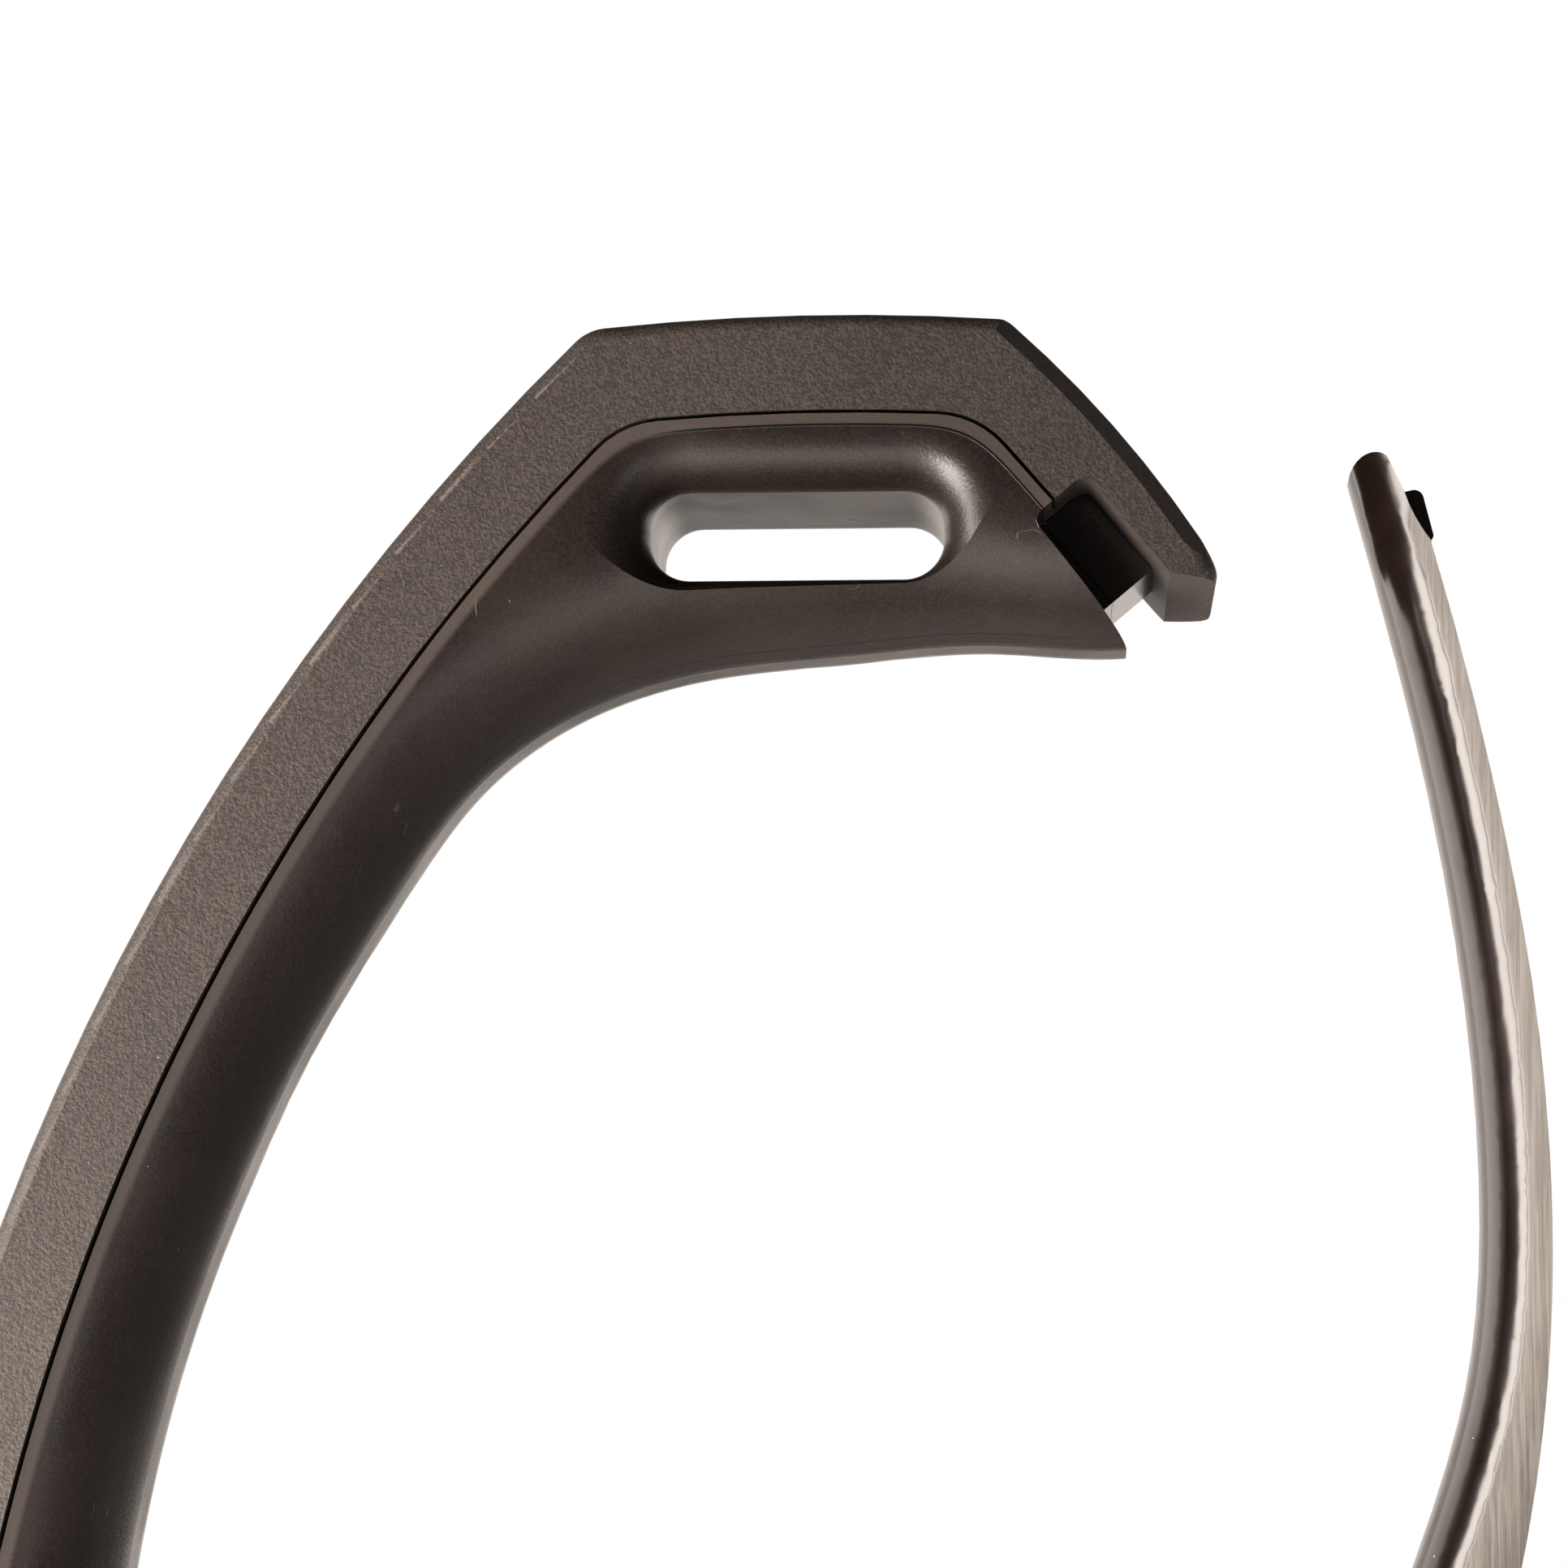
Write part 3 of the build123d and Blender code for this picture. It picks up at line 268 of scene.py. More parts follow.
# ---------------------------------------------------------------- finishes
@dataclass(frozen=True)
class RailFinish:
    """Glass-filled nylon 66, moulded against a spark-eroded wall.

    The erosion leaves a fine even grain that breaks every highlight into a soft grey sheen; handling
    has scuffed the sloping rear end pale and rough. The whole bevel is also painted lighter, a
    painted highlight on top of the rubbing.
    """

    name: str = "nylon66_spark_grained"
    body: str = "#36302d"
    light: str = "#4e4641"
    shade: str = "#241f1c"
    dust: str = "#b9b2aa"
    bevel_highlight_and_rub: str = "#6f665f"
    scuff: str = "#8a837c"
    grain: float = mm(0.42)
    grain_depth: float = mm(0.13)
    slope_foot: tuple[float, float] = (mm(52.25 + 24.3), mm(400.4))
    slope_run: tuple[float, float] = (0.589, -0.808)
    tab_tip: tuple[float, float] = (mm(52.25 + 51.0), mm(368.1))
    rubbed_along: tuple[float, float] = (mm(26), mm(40))
    chafed_reach: tuple[float, float] = (mm(1.0), mm(3.2))

    def material(self) -> bpy.types.Material:
        """Returns the grained nylon with its scuffed slope."""
        p = Pattern(self.name)
        grain = p.noise(self.grain, 2.0, 0.6)
        coarse = p.noise(mm(1.3), 2.0, 0.5)
        cloud = p.noise(mm(38), 2.0, 0.5)
        bevel = self.bevel(p)
        low = p.ramp(self.along(p), *self.rubbed_along)
        worn = p.ramp(p.noise(mm(0.5), 4.0, 0.75), 0.40, 0.62)
        patch = p.ramp(p.noise(mm(3.2), 3.0, 0.6), 0.38, 0.7)
        scuff = p.math("MULTIPLY", bevel, p.blend(low, p.blend(patch, 0.25, 0.7), 1.0))
        scuff = p.math("MULTIPLY", scuff, p.blend(worn, 0.45, 1.0))
        chafed = p.math("MULTIPLY", self.tip(p), p.math("MULTIPLY", worn, patch))
        scuff = p.math("MAXIMUM", scuff, chafed)
        tone = p.mix(p.ramp(grain, 0.34, 0.68), linear(self.body), linear(self.light))
        tone = p.mix(p.math("MULTIPLY", p.ramp(cloud, 0.35, 0.7), 0.18), tone, linear(self.shade))
        tone = p.mix(p.math("MULTIPLY", p.specks(mm(3.4), mm(0.13)), 0.5), tone, linear(self.dust))
        # painted highlight and rubbing: the whole bevel, picked by its facing, is lightened evenly for
        # the light it catches; the patchy wear is the scuff below
        tone = p.mix(p.math("MULTIPLY", bevel, 0.55), tone, linear(self.bevel_highlight_and_rub))
        tone = p.mix(p.math("MULTIPLY", scuff, 0.6), tone, linear(self.scuff))
        rough = p.blend(grain, 0.50, 0.62)
        rough = p.blend(scuff, rough, 0.74)
        relief = p.bump(coarse, mm(0.02))
        relief = p.bump(grain, self.grain_depth, 1.0, relief)
        relief = p.bump(p.math("MULTIPLY", scuff, p.noise(mm(0.7), 4.0, 0.7)), mm(0.35), 1.0, relief)
        return p.finish(
            Base_Color=tone, Roughness=rough, Normal=relief, IOR=1.53, Specular_IOR_Level=0.5
        )

    def along(self, p: Pattern) -> bpy.types.NodeSocket:
        """Distance down the slope from its upper corner."""
        dx = p.math("MULTIPLY", p.math("SUBTRACT", p.x, self.slope_foot[0]), self.slope_run[0])
        dz = p.math("MULTIPLY", p.math("SUBTRACT", p.z, self.slope_foot[1]), self.slope_run[1])
        return p.math("ADD", dx, dz)

    def bevel(self, p: Pattern) -> bpy.types.NodeSocket:
        """Where the bevel lies: faces turned half to the slope and half to a side."""
        nx, ny, nz = node(p.tree, "SeparateXYZ", {0: p.normal}).outputs
        side = p.math("ABSOLUTE", ny)
        both = p.math("MULTIPLY", p.ramp(side, 0.45, 0.60), p.ramp(side, 0.80, 0.90, Grade.FALLING))
        rear = p.math("MULTIPLY", p.ramp(nx, 0.25, 0.40), p.ramp(nz, 0.10, 0.25))
        return p.math("MULTIPLY", both, rear)

    def tip(self, p: Pattern) -> bpy.types.NodeSocket:
        """The last few millimetres of the tab, outside its near and far corners."""
        away = node(
            p.tree, "VectorMath", {0: p.place, 1: (self.tab_tip[0], 0.0, self.tab_tip[1])},
            operation="SUBTRACT",
        ).outputs[0]
        flat = node(p.tree, "VectorMath", {0: away, 1: (1.0, 0.0, 1.0)}, operation="MULTIPLY")
        reach = node(p.tree, "VectorMath", {0: flat.outputs[0]}, operation="LENGTH").outputs["Value"]
        return p.ramp(reach, *self.chafed_reach, Grade.FALLING)


@dataclass(frozen=True)
class CoreFinish:
    """Unfilled nylon, moulded against a finely blasted wall.

    It is smoother than the rail, so it rolls from a soft highlight into near black; steps of the
    mould show as fine lines beside the groove and along the inside of the bow. The narrow land
    beside the groove is painted lighter as a painted highlight.
    """

    name: str = "nylon66_satin_moulded"
    body: str = "#1f1917"
    light: str = "#2c2522"
    haze: str = "#3a322d"
    land_highlight_tone: str = "#5d5550"
    dust: str = "#b7afa6"
    scratch_tone: str = "#8b8178"
    line_tone: str = "#0b0908"
    pocket_shade_tone: str = "#0d0a08"
    grain: float = mm(0.38)
    front_center: tuple[float, float] = (mm(52.25 + 178.4), mm(187.7))
    front_radius: float = mm(284.6)
    crest_center: tuple[float, float] = (mm(52.25 + 2.4), mm(109.5))
    crest_radius: float = mm(279.7)
    slope_point: tuple[float, float] = (mm(52.25 + 20.8), mm(388.59))
    slope_inward: tuple[float, float] = (-0.7581, -0.6522)
    corner_blend: float = mm(6.5)
    land: float = mm(2.0)
    parting: float = mm(8.0)
    pocket_top: tuple[float, float] = (mm(52.25 + 30.6), mm(378.0))
    pocket_run: tuple[float, float] = (0.643, -0.766)
    pocket_half: float = mm(4.4)
    pocket_web: tuple[float, float] = (mm(9.4), mm(10.4))
    crown_radius: float = mm(110)

    def inside(self, p: Pattern) -> tuple[bpy.types.NodeSocket, bpy.types.NodeSocket]:
        """Distance inside the rail's inner line.

        Args:
            p: The pattern that is laid out.

        Returns:
            The distance to the whole line, and to its long front arc alone.
        """
        front = self.from_arc(p, self.front_center, self.front_radius)
        crest = self.from_arc(p, self.crest_center, self.crest_radius)
        dx = p.math("MULTIPLY", p.math("SUBTRACT", p.x, self.slope_point[0]), self.slope_inward[0])
        dz = p.math("MULTIPLY", p.math("SUBTRACT", p.z, self.slope_point[1]), self.slope_inward[1])
        slope = p.math("ADD", dx, dz)
        upper = p.math("SMOOTH_MIN", crest, slope, self.corner_blend)
        return p.math("SMOOTH_MIN", front, upper, self.corner_blend), front

    def from_arc(
        self, p: Pattern, center: tuple[float, float], radius: float
    ) -> bpy.types.NodeSocket:
        """Distance inside a circle of the side view."""
        dx = p.math("SUBTRACT", p.x, center[0])
        dz = p.math("SUBTRACT", p.z, center[1])
        square = p.math("ADD", p.math("MULTIPLY", dx, dx), p.math("MULTIPLY", dz, dz))
        return p.math("SUBTRACT", radius, p.math("SQRT", square))

    def material(self) -> bpy.types.Material:
        """Returns the satin nylon with its mould lines."""
        p = Pattern(self.name)
        inside, front = self.inside(p)
        grain = p.noise(self.grain, 2.0, 0.55)
        cloud = p.noise(mm(22), 3.0, 0.6)
        step = p.line(inside, self.land, mm(0.22))
        step = p.math("MULTIPLY", step, p.ramp(front, mm(3.0), mm(9.0)))
        across = p.math("ABSOLUTE", p.y)
        parting = p.line(across, self.parting, mm(0.16))
        parting = p.math("MULTIPLY", parting, p.ramp(inside, mm(6.0), mm(10.0)))
        lines = p.math("MAXIMUM", step, p.math("MULTIPLY", parting, 0.8))
        land = p.ramp(inside, self.land - mm(0.5), self.land + mm(0.4), Grade.FALLING)
        tone = p.mix(p.ramp(grain, 0.35, 0.7), linear(self.body), linear(self.light))
        tone = p.mix(p.math("MULTIPLY", p.ramp(cloud, 0.42, 0.72), 0.22), tone, linear(self.haze))
        # painted highlight: the narrow land just inside the groove is painted lighter for the light it
        # catches
        tone = p.mix(p.math("MULTIPLY", land, 0.7), tone, linear(self.land_highlight_tone))
        tone = p.mix(p.math("MULTIPLY", p.specks(mm(6.5), mm(0.12)), 0.5), tone, linear(self.dust))
        scratch = self.scratches(p)
        tone = p.mix(p.math("MULTIPLY", scratch, 0.4), tone, linear(self.scratch_tone))
        tone = p.mix(p.math("MULTIPLY", lines, 0.85), tone, linear(self.line_tone))
        # painted shade: the recessed web between the end pockets is painted near black; the same mask
        # also makes it glossier
        floor = self.pocket_web_shade_and_gloss(p)
        tone = p.mix(p.math("MULTIPLY", floor, 0.9), tone, linear(self.pocket_shade_tone))
        rough = p.blend(floor, p.blend(p.ramp(cloud, 0.3, 0.75), 0.27, 0.36), 0.22)
        relief = p.bump(grain, mm(0.035), 1.0, self.crown(p, inside))
        relief = p.bump(lines, mm(0.18), 1.0, p.bump(scratch, mm(0.03), 1.0, relief))
        return p.finish(
            Base_Color=tone, Roughness=rough, Normal=relief, IOR=1.53, Specular_IOR_Level=0.5
        )

    def crown(self, p: Pattern, inside) -> bpy.types.NodeSocket:
        """The slight fall of the flat sides towards the inside of the bow.

        Args:
            p: The pattern that is laid out.
            inside: Distance inside the rail's inner line.

        Returns:
            The normal's socket.
        """
        past = p.math("MAXIMUM", p.math("SUBTRACT", inside, self.land), 0.0)
        fall = p.math("DIVIDE", p.math("MULTIPLY", past, past), -2.0 * self.crown_radius)
        return p.bump(fall, 1.0)

    def pocket_web_shade_and_gloss(self, p: Pattern) -> bpy.types.NodeSocket:
        """The web between the two end pockets: the mask of the recess's painted shade, and of its smooth,
        untextured gloss.
        """
        dx = p.math("SUBTRACT", p.x, self.pocket_top[0])
        dz = p.math("SUBTRACT", p.z, self.pocket_top[1])
        run, rise = self.pocket_run
        down = p.math("ADD", p.math("MULTIPLY", dx, run), p.math("MULTIPLY", dz, rise))
        side = p.math("ADD", p.math("MULTIPLY", dx, -rise), p.math("MULTIPLY", dz, run))
        off = p.math("ABSOLUTE", side)
        between = p.ramp(off, self.pocket_half - mm(0.1), self.pocket_half, Grade.FALLING)
        inside = p.math("MULTIPLY", between, p.ramp(down, mm(-0.3), 0.0))
        deep = p.ramp(p.math("ABSOLUTE", p.y), *self.pocket_web, Grade.FALLING)
        return p.math("MULTIPLY", inside, deep)

    def scratches(self, p: Pattern) -> bpy.types.NodeSocket:
        """A few hairline scratches, all but lost in the grain."""
        turned = node(
            p.tree, "Mapping", {"Vector": p.place, "Rotation": (0, 0.62, 0), "Scale": (260, 900, 16)}
        ).outputs[0]
        thread = node(p.tree, "TexNoise", {"Vector": turned, "Scale": 1.0, "Detail": 1.0}).outputs[0]
        fine = p.ramp(p.math("ABSOLUTE", p.math("SUBTRACT", thread, 0.5)), 0.002, 0.007, Grade.FALLING)
        return p.math("MULTIPLY", fine, p.ramp(p.noise(mm(9)), 0.66, 0.72))


@dataclass(frozen=True)
class BladeFinish:
    """Glass and epoxy spring leaf, press-moulded and clear-coated.

    The coat mirrors the room in long bands down the rounded face; the band that faces sideways was
    sawn and left bare, grey and scored lengthwise.
    """

    name: str = "glass_epoxy_gloss"
    body: str = "#17100d"
    smeared: str = "#211814"
    edge: str = "#857f79"
    score: str = "#6d6863"
    sawn_from: float = 0.825
    sawn_to: float = 0.85

    def material(self) -> bpy.types.Material:
        """Returns the clear-coated leaf with its sawn edges."""
        p = Pattern(self.name)
        facing = node(p.tree, "SeparateXYZ", {0: p.normal}).outputs[1]
        sawn = p.ramp(p.math("ABSOLUTE", facing), self.sawn_from, self.sawn_to)
        streaks = p.noise(1.0, 4.0, 0.65, p.stretched((2600, 500, 60)))
        lines = p.noise(1.0, 3.0, 0.6, p.stretched((1500, 900, 25)))
        smear = p.noise(mm(14), 3.0, 0.6)
        coat = p.mix(p.ramp(smear, 0.35, 0.75), linear(self.body), linear(self.smeared))
        bare = p.mix(p.ramp(streaks, 0.35, 0.68), linear("#625c57"), linear(self.edge))
        bare = p.mix(p.math("MULTIPLY", p.ramp(lines, 0.60, 0.68), 0.6), bare, linear(self.score))
        tone = p.mix(sawn, coat, bare)
        tone = p.mix(p.math("MULTIPLY", p.specks(mm(7.0), mm(0.15)), 0.7), tone, linear("#d6d2cc"))
        rough = p.blend(sawn, p.blend(smear, 0.10, 0.20), p.blend(streaks, 0.42, 0.62))
        relief = p.bump(p.math("MULTIPLY", sawn, streaks), mm(0.05))
        relief = p.bump(p.noise(mm(3.0)), mm(0.004), 1.0, relief)
        return p.finish(
            Base_Color=tone, Roughness=rough, Normal=relief, IOR=1.55, Specular_IOR_Level=0.6
        )


@dataclass(frozen=True)
class Polymer:
    """A moulded polymer or elastomer: one colour, a fine grain and soft clouds.

    The grain keeps its highlights broad; the clouds stop large faces from looking painted.
    """

    name: str
    body: str
    light: str
    roughness: float = 0.5
    grain: float = mm(0.5)
    grain_depth: float = mm(0.04)
    speck: str = "#8d8780"

    def material(self) -> bpy.types.Material:
        """Returns the moulded polymer."""
        p = Pattern(self.name)
        grain = p.noise(self.grain, 3.0, 0.6)
        cloud = p.noise(mm(26), 3.0, 0.55)
        dust = p.ramp(p.noise(mm(1.1), 4.0, 0.7), 0.62, 0.74)
        tone = p.mix(p.ramp(grain, 0.3, 0.72), linear(self.body), linear(self.light))
        tone = p.mix(p.math("MULTIPLY", p.ramp(cloud, 0.4, 0.75), 0.3), tone, linear(self.light))
        tone = p.mix(p.math("MULTIPLY", dust, 0.10), tone, linear(self.speck))
        rough = p.blend(cloud, self.roughness - 0.07, self.roughness + 0.07)
        return p.finish(
            Base_Color=tone,
            Roughness=rough,
            Normal=p.bump(grain, self.grain_depth),
            IOR=1.52,
            Specular_IOR_Level=0.5,
        )


@dataclass(frozen=True)
class WornMetal:
    """A machined or plated metal part.

    Turning or brushing draws its highlights out along one direction; handling dulls it in clouds.
    """

    name: str
    body: str
    dull: str
    roughness: float = 0.28
    brushed: Point = (1200.0, 40.0, 1200.0)

    def material(self) -> bpy.types.Material:
        """Returns the metal."""
        p = Pattern(self.name)
        brushing = p.noise(1.0, 3.0, 0.6, p.stretched(self.brushed))
        cloud = p.noise(mm(6.0), 3.0, 0.6)
        tone = p.mix(p.ramp(cloud, 0.35, 0.75), linear(self.body), linear(self.dull))
        tone = p.mix(p.math("MULTIPLY", p.ramp(brushing, 0.4, 0.7), 0.3), tone, linear(self.dull))
        rough = p.blend(brushing, self.roughness - 0.06, self.roughness + 0.12)
        return p.finish(
            Base_Color=tone, Metallic=1.0, Roughness=rough, Normal=p.bump(brushing, mm(0.006))
        )


@dataclass(frozen=True)
class WovenLeaf:
    """Carbon and glass fabric in epoxy, a twill seen through a thin satin coat.

    Tows cross at right angles and catch the light in turn, which gives a faint slanting chequer.
    """

    name: str = "carbon_twill_satin"
    tow: float = mm(2.0)
    warp_tone: str = "#1b1b1d"
    weft_tone: str = "#2c2c2f"
    resin: str = "#0e0e0f"

    def material(self) -> bpy.types.Material:
        """Returns the twill leaf."""
        p = Pattern(self.name)
        u = p.math("DIVIDE", p.x, self.tow)
        v = p.math("DIVIDE", p.y, self.tow)
        turn = p.math("ADD", p.math("FLOOR", u), p.math("FLOOR", v))
        weft = p.math("LESS_THAN", p.math("FRACT", p.math("DIVIDE", turn, 4.0)), 0.5)
        crown_u = p.math("SINE", p.math("MULTIPLY", p.math("FRACT", u), math.pi))
        crown_v = p.math("SINE", p.math("MULTIPLY", p.math("FRACT", v), math.pi))
        crown = p.blend(weft, crown_u, crown_v)
        fibres = p.blend(
            weft,
            p.noise(1.0, 2.0, 0.5, p.stretched((9000, 300, 300))),
            p.noise(1.0, 2.0, 0.5, p.stretched((300, 9000, 300))),
        )
        tone = p.mix(weft, linear(self.warp_tone), linear(self.weft_tone))
        between = p.math("MULTIPLY", p.ramp(crown, 0.0, 0.5, Grade.FALLING), 0.7)
        tone = p.mix(between, tone, linear(self.resin))
        rough = p.blend(fibres, 0.28, 0.40)
        relief = p.bump(fibres, mm(0.01), 1.0, p.bump(crown, mm(0.05)))
        return p.finish(
            Base_Color=tone, Roughness=rough, Normal=relief, IOR=1.55, Specular_IOR_Level=0.5
        )


BLACK_STEEL = WornMetal("steel_black_oxide", "#34343a", "#1f1f22", 0.36)


# ---------------------------------------------------------------- sub-assemblies
def dress(name: str, material: bpy.types.Material) -> None:
    """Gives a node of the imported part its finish.

    Args:
        name: The node.
        material: The finish that all its slots take.
    """
    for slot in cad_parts[name].material_slots:
        slot.material = material
    LOG.info("dressed %s in %s", name, material.name)


@dataclass
class TurnedBumper:
    """A cast polyurethane bumper: a barrel with waists that let it bulge when it is pressed.

    Each ring gives a share of the radius and a share of the height of the node it stands for.
    """

    node: str
    body: Body
    rings: tuple[tuple[float, float], ...] = (
        (0.985, 0.0),
        (0.985, 0.17),
        (0.90, 0.21),
        (0.90, 0.26),
        (0.99, 0.32),
        (0.99, 0.44),
        (0.89, 0.50),
        (0.89, 0.55),
        (0.99, 0.61),
        (0.99, 0.74),
        (0.95, 0.84),
        (0.84, 0.93),
        (0.66, 0.98),
        (0.40, 1.0),
    )
    sides: int = 64

    def build(self, material: bpy.types.Material) -> None:
        """Extrudes the rings from a disc and puts the piece in the node's place.

        Args:
            material: The finish of the bumper.
        """
        low, high = (Vector(corner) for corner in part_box(self.node))
        centre, height = (low + high) / 2, high.z - low.z
        radius = (high.x - low.x) / 2
        bpy.ops.object.select_all(action="DESELECT")
        bpy.ops.mesh.primitive_circle_add(
            vertices=self.sides,
            radius=radius * self.rings[0][0],
            fill_type="NGON",
            location=(centre.x, centre.y, low.z),
        )
        piece = bpy.context.object
        piece.name = self.node + "_cast"
        bpy.ops.object.transform_apply(location=True, rotation=True, scale=True)
        bpy.ops.object.mode_set(mode="EDIT")
        bpy.ops.mesh.select_all(action="SELECT")
        for (wide, at), (next_wide, next_at) in zip(self.rings, self.rings[1:]):
            rise = (next_at - at) * height
            bpy.ops.mesh.extrude_region_move(TRANSFORM_OT_translate={"value": (0, 0, rise)})
            share = next_wide / wide
            bpy.ops.transform.resize(
                value=(share, share, 1.0),
                center_override=(centre.x, centre.y, low.z + next_at * height),
            )
        bpy.ops.mesh.select_all(action="SELECT")
        bpy.ops.mesh.normals_make_consistent(inside=False)
        bpy.ops.object.mode_set(mode="OBJECT")
        bpy.ops.object.shade_smooth_by_angle(angle=math.radians(50))
        piece.data.materials.append(material)
        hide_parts(self.node)
        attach(piece, self.body.value)
        LOG.info("cast %s rides %s", self.node, self.body.value)


@dataclass
class Mast:
    """Grained rail, satin core and the plate that the socket bolts to."""

    def dress(self) -> None:
        """Dresses the mast's nodes."""
        dress("mast_rail", RailFinish().material())
        dress("mast_core", CoreFinish().material())
        dress(
            "socket_plate",
            WornMetal("aluminium_bead_blasted", "#b9babb", "#9b9c9e", 0.42, (900, 900, 900)).material(),
        )
        dress("socket_plate_screws", BLACK_STEEL.material())
        dress(
            "socket_plate_inserts",
            WornMetal("brass_knurled", "#c9a15a", "#9a7a42", 0.34).material(),
        )


@dataclass
class RearBlade:
    """Glossy spring blade with its tip catch, and the bushes that the joints turn on."""

    def dress(self) -> None:
        """Dresses the blade's nodes and the bushes."""
        dress("rear_blade", BladeFinish().material())
        catch = Polymer("acetal_black_moulded", "#191614", "#26211e", 0.34, mm(0.4), mm(0.01))
        dress("tip_catch", catch.material())
        bush = Polymer("acetal_natural_turned", "#cfc8b8", "#ded8ca", 0.40, mm(0.6), mm(0.01)).material()
        for name in ("blade_bush", "leaf_bush", "ankle_bushes"):
            dress(name, bush)


@dataclass
class Ankle:
    """Cast housing, its fastenings, axle and bumpers."""

    bumpers: tuple[tuple[str, Body], ...] = (
        ("front_bumper", Body.FOOT),
        ("rear_bumper", Body.FOOT),
        ("heel_bumper", Body.HEEL),
    )

    def dress(self) -> None:
        """Dresses the ankle's nodes and casts the bumpers."""
        cast = Polymer("aluminium_cast_powder_coated", "#26241f", "#33302b", 0.46, mm(0.9), mm(0.06))
        dress("ankle_housing", cast.material())
        steel = WornMetal("stainless_turned", "#c3c4c6", "#96979a", 0.24).material()
        for name in ("mast_washers", "mast_nuts", "blade_pin", "ankle_axle", "leaf_pin"):
            dress(name, steel)
        black = BLACK_STEEL.material()
        for name in ("mast_bolts", "axle_screws", "blade_clips"):
            dress(name, black)
        rubber = Polymer("polyurethane_cast", "#1d1b1a", "#2b2826", 0.58, mm(0.7), mm(0.05)).material()
        dress("blade_bumper", rubber)
        for name, body in self.bumpers:
            TurnedBumper(name, body).build(rubber)


@dataclass
class Foot:
    """Moulded keel, woven heel leaf and ribbed treads."""

    def dress(self) -> None:
        """Dresses the foot's nodes."""
        keel = Polymer("nylon12_moulded", "#332e2b", "#433d39", 0.50, mm(0.5), mm(0.06))
        dress("foot_keel", keel.material())
        dress("heel_leaf", WovenLeaf().material())
        tread = Polymer("rubber_sbr_moulded", "#1a1817", "#262321", 0.72, mm(0.8), mm(0.09)).material()
        for name in ("forefoot_tread", "heel_tread"):
            dress(name, tread)


# ---------------------------------------------------------------- studio
@dataclass(frozen=True)
class SoftBox:
    """A soft area light aimed at a point."""

    name: str
    place: Point
    aim: Point
    width: float
    height: float
    power: float
    colour: str = "#ffffff"

    def build(self) -> None:
        """Adds the light."""
        data = bpy.data.lights.new(self.name, "AREA")
        data.shape = "RECTANGLE"
        data.size = self.width
        data.size_y = self.height
        data.energy = self.power
        data.color = linear(self.colour)[:3]
        light = bpy.data.objects.new(self.name, data)
        light.location = self.place
        light.rotation_euler = (
            (Vector(self.aim) - Vector(self.place)).to_track_quat("-Z", "Y").to_euler()
        )
        light.visible_camera = False
        bpy.context.scene.collection.objects.link(light)


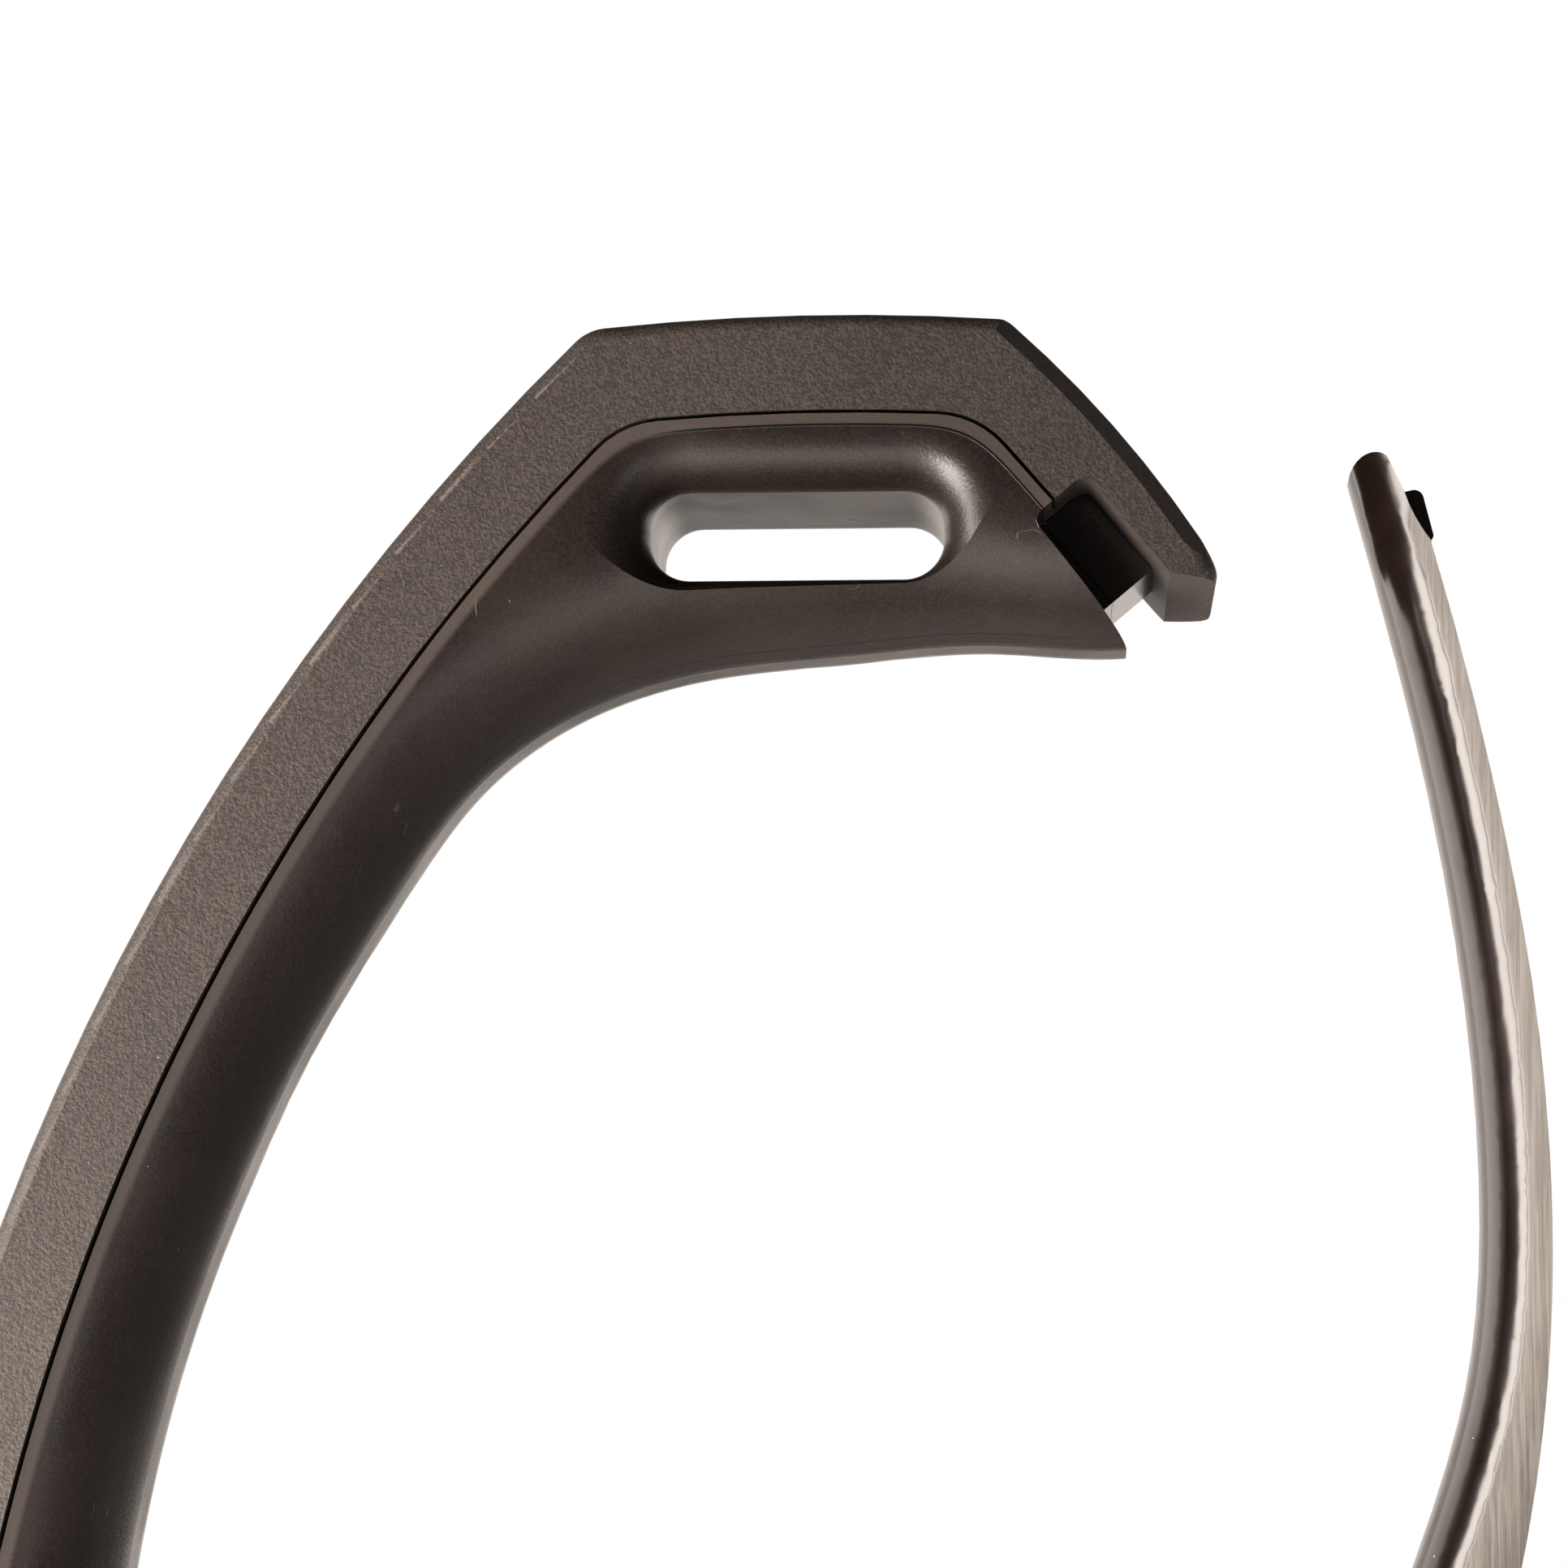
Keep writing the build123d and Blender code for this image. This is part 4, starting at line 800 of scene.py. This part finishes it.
@dataclass(frozen=True)
class Studio:
    """Pale floor, white surround, soft boxes and the camera."""

    camera_place: Point = (0.08225, -0.6600, 0.2588)
    camera_aim: Point = (0.04885, -0.0200, 0.3422)
    lens: float = 120.43
    floor_radius: float = 2.4
    floor_gap: float = mm(0.4)
    room_front: float = 0.05
    room_back: float = 1.4
    boxes: tuple[SoftBox, ...] = (
        SoftBox("key_strip", (-0.40, -0.20, 0.25), (0.05, -0.02, 0.27), 0.13, 0.6, 3.7, "#fff4ea"),
        SoftBox("left_back", (-0.47, 0.36, 0.28), (0.13, 0.0, 0.28), 0.36, 0.7, 1.0, "#fff8f2"),
        SoftBox("low_card", (0.03, -0.24, 0.04), (0.03, 0.0, 0.38), 0.35, 0.25, 0.3, "#fff4ea"),
        SoftBox("front_left", (-0.29, -0.34, 0.10), (-0.02, 0.0, 0.27), 0.22, 0.22, 3.4, "#fff6ee"),
        SoftBox("low_right", (0.34, -0.55, 0.06), (0.13, 0.0, 0.26), 0.2, 0.4, 0.3, "#fffaf6"),
    )

    def build(self) -> None:
        """Builds the whole studio."""
        self.surround()
        self.floor()
        for box in self.boxes:
            box.build()
        self.camera()
        LOG.info("studio: floor, surround, %d soft boxes, camera", len(self.boxes))

    def surround(self) -> None:
        """A white backdrop behind the leg that fades to a dim room in front of it."""
        world = bpy.data.worlds.new("surround")
        world.use_nodes = True
        tree = world.node_tree
        tree.nodes.clear()
        toward = node(tree, "TexCoord", {}).outputs["Generated"]
        split = node(tree, "SeparateXYZ", {0: toward})
        back = node(
            tree,
            "MapRange",
            {
                "Value": split.outputs[1],
                "From Min": -0.2,
                "From Max": 0.7,
                "To Min": self.room_front,
                "To Max": self.room_back,
            },
            interpolation_type="SMOOTHSTEP",
        ).outputs[0]
        low = node(
            tree,
            "MapRange",
            {"Value": split.outputs[2], "From Min": 0.0, "From Max": 0.7, "To Min": 1.0, "To Max": 0.15},
            interpolation_type="SMOOTHSTEP",
        ).outputs[0]
        level = node(tree, "Math", {0: back, 1: low}, operation="MULTIPLY").outputs[0]
        warm = linear("#fff3ea")
        lit = node(tree, "Background", {"Color": warm, "Strength": level}).outputs[0]
        seen = node(tree, "Background", {"Color": (1, 1, 1, 1), "Strength": 1.0}).outputs[0]
        ray = node(tree, "LightPath", {}).outputs["Is Camera Ray"]
        both = node(tree, "MixShader", {0: ray, 1: lit, 2: seen}).outputs[0]
        node(tree, "OutputWorld", {"Surface": both})
        bpy.context.scene.world = world
        bpy.context.scene.view_settings.view_transform = "Standard"

    def floor(self) -> None:
        """A pale matt floor disc."""
        bpy.ops.object.select_all(action="DESELECT")
        low = CAD_BOX[0][2]
        bpy.ops.mesh.primitive_circle_add(
            vertices=96, radius=self.floor_radius, fill_type="NGON", location=(0, 0, low - self.floor_gap)
        )
        floor = bpy.context.object
        floor.name = "floor"
        bpy.ops.object.transform_apply(location=True, rotation=True, scale=True)
        paper = Pattern("paper_matt_white")
        fibre = paper.noise(mm(60), 2.0, 0.5)
        tone = paper.mix(fibre, linear("#e9e8e6"), linear("#eeedeb"))
        floor.data.materials.append(paper.finish(Base_Color=tone, Roughness=0.9))

    def camera(self) -> None:
        """A long lens a little below the middle of the leg, looking slightly up."""
        data = bpy.data.cameras.new("camera")
        data.lens = self.lens
        data.sensor_width = 36.0
        data.clip_start = 0.01
        data.clip_end = 50.0
        camera = bpy.data.objects.new("camera", data)
        camera.location = self.camera_place
        camera.rotation_euler = (
            (Vector(self.camera_aim) - Vector(self.camera_place)).to_track_quat("-Z", "Y").to_euler()
        )
        bpy.context.scene.collection.objects.link(camera)
        bpy.context.scene.camera = camera


def main() -> None:
    """Builds the studio and dresses the leg from top to bottom."""
    logging.basicConfig(level=logging.INFO, format="%(message)s")
    Studio().build()
    for part in (Mast(), RearBlade(), Ankle(), Foot()):
        part.dress()
        LOG.info("%s done", type(part).__name__)


if __name__ == "__main__":
    main()
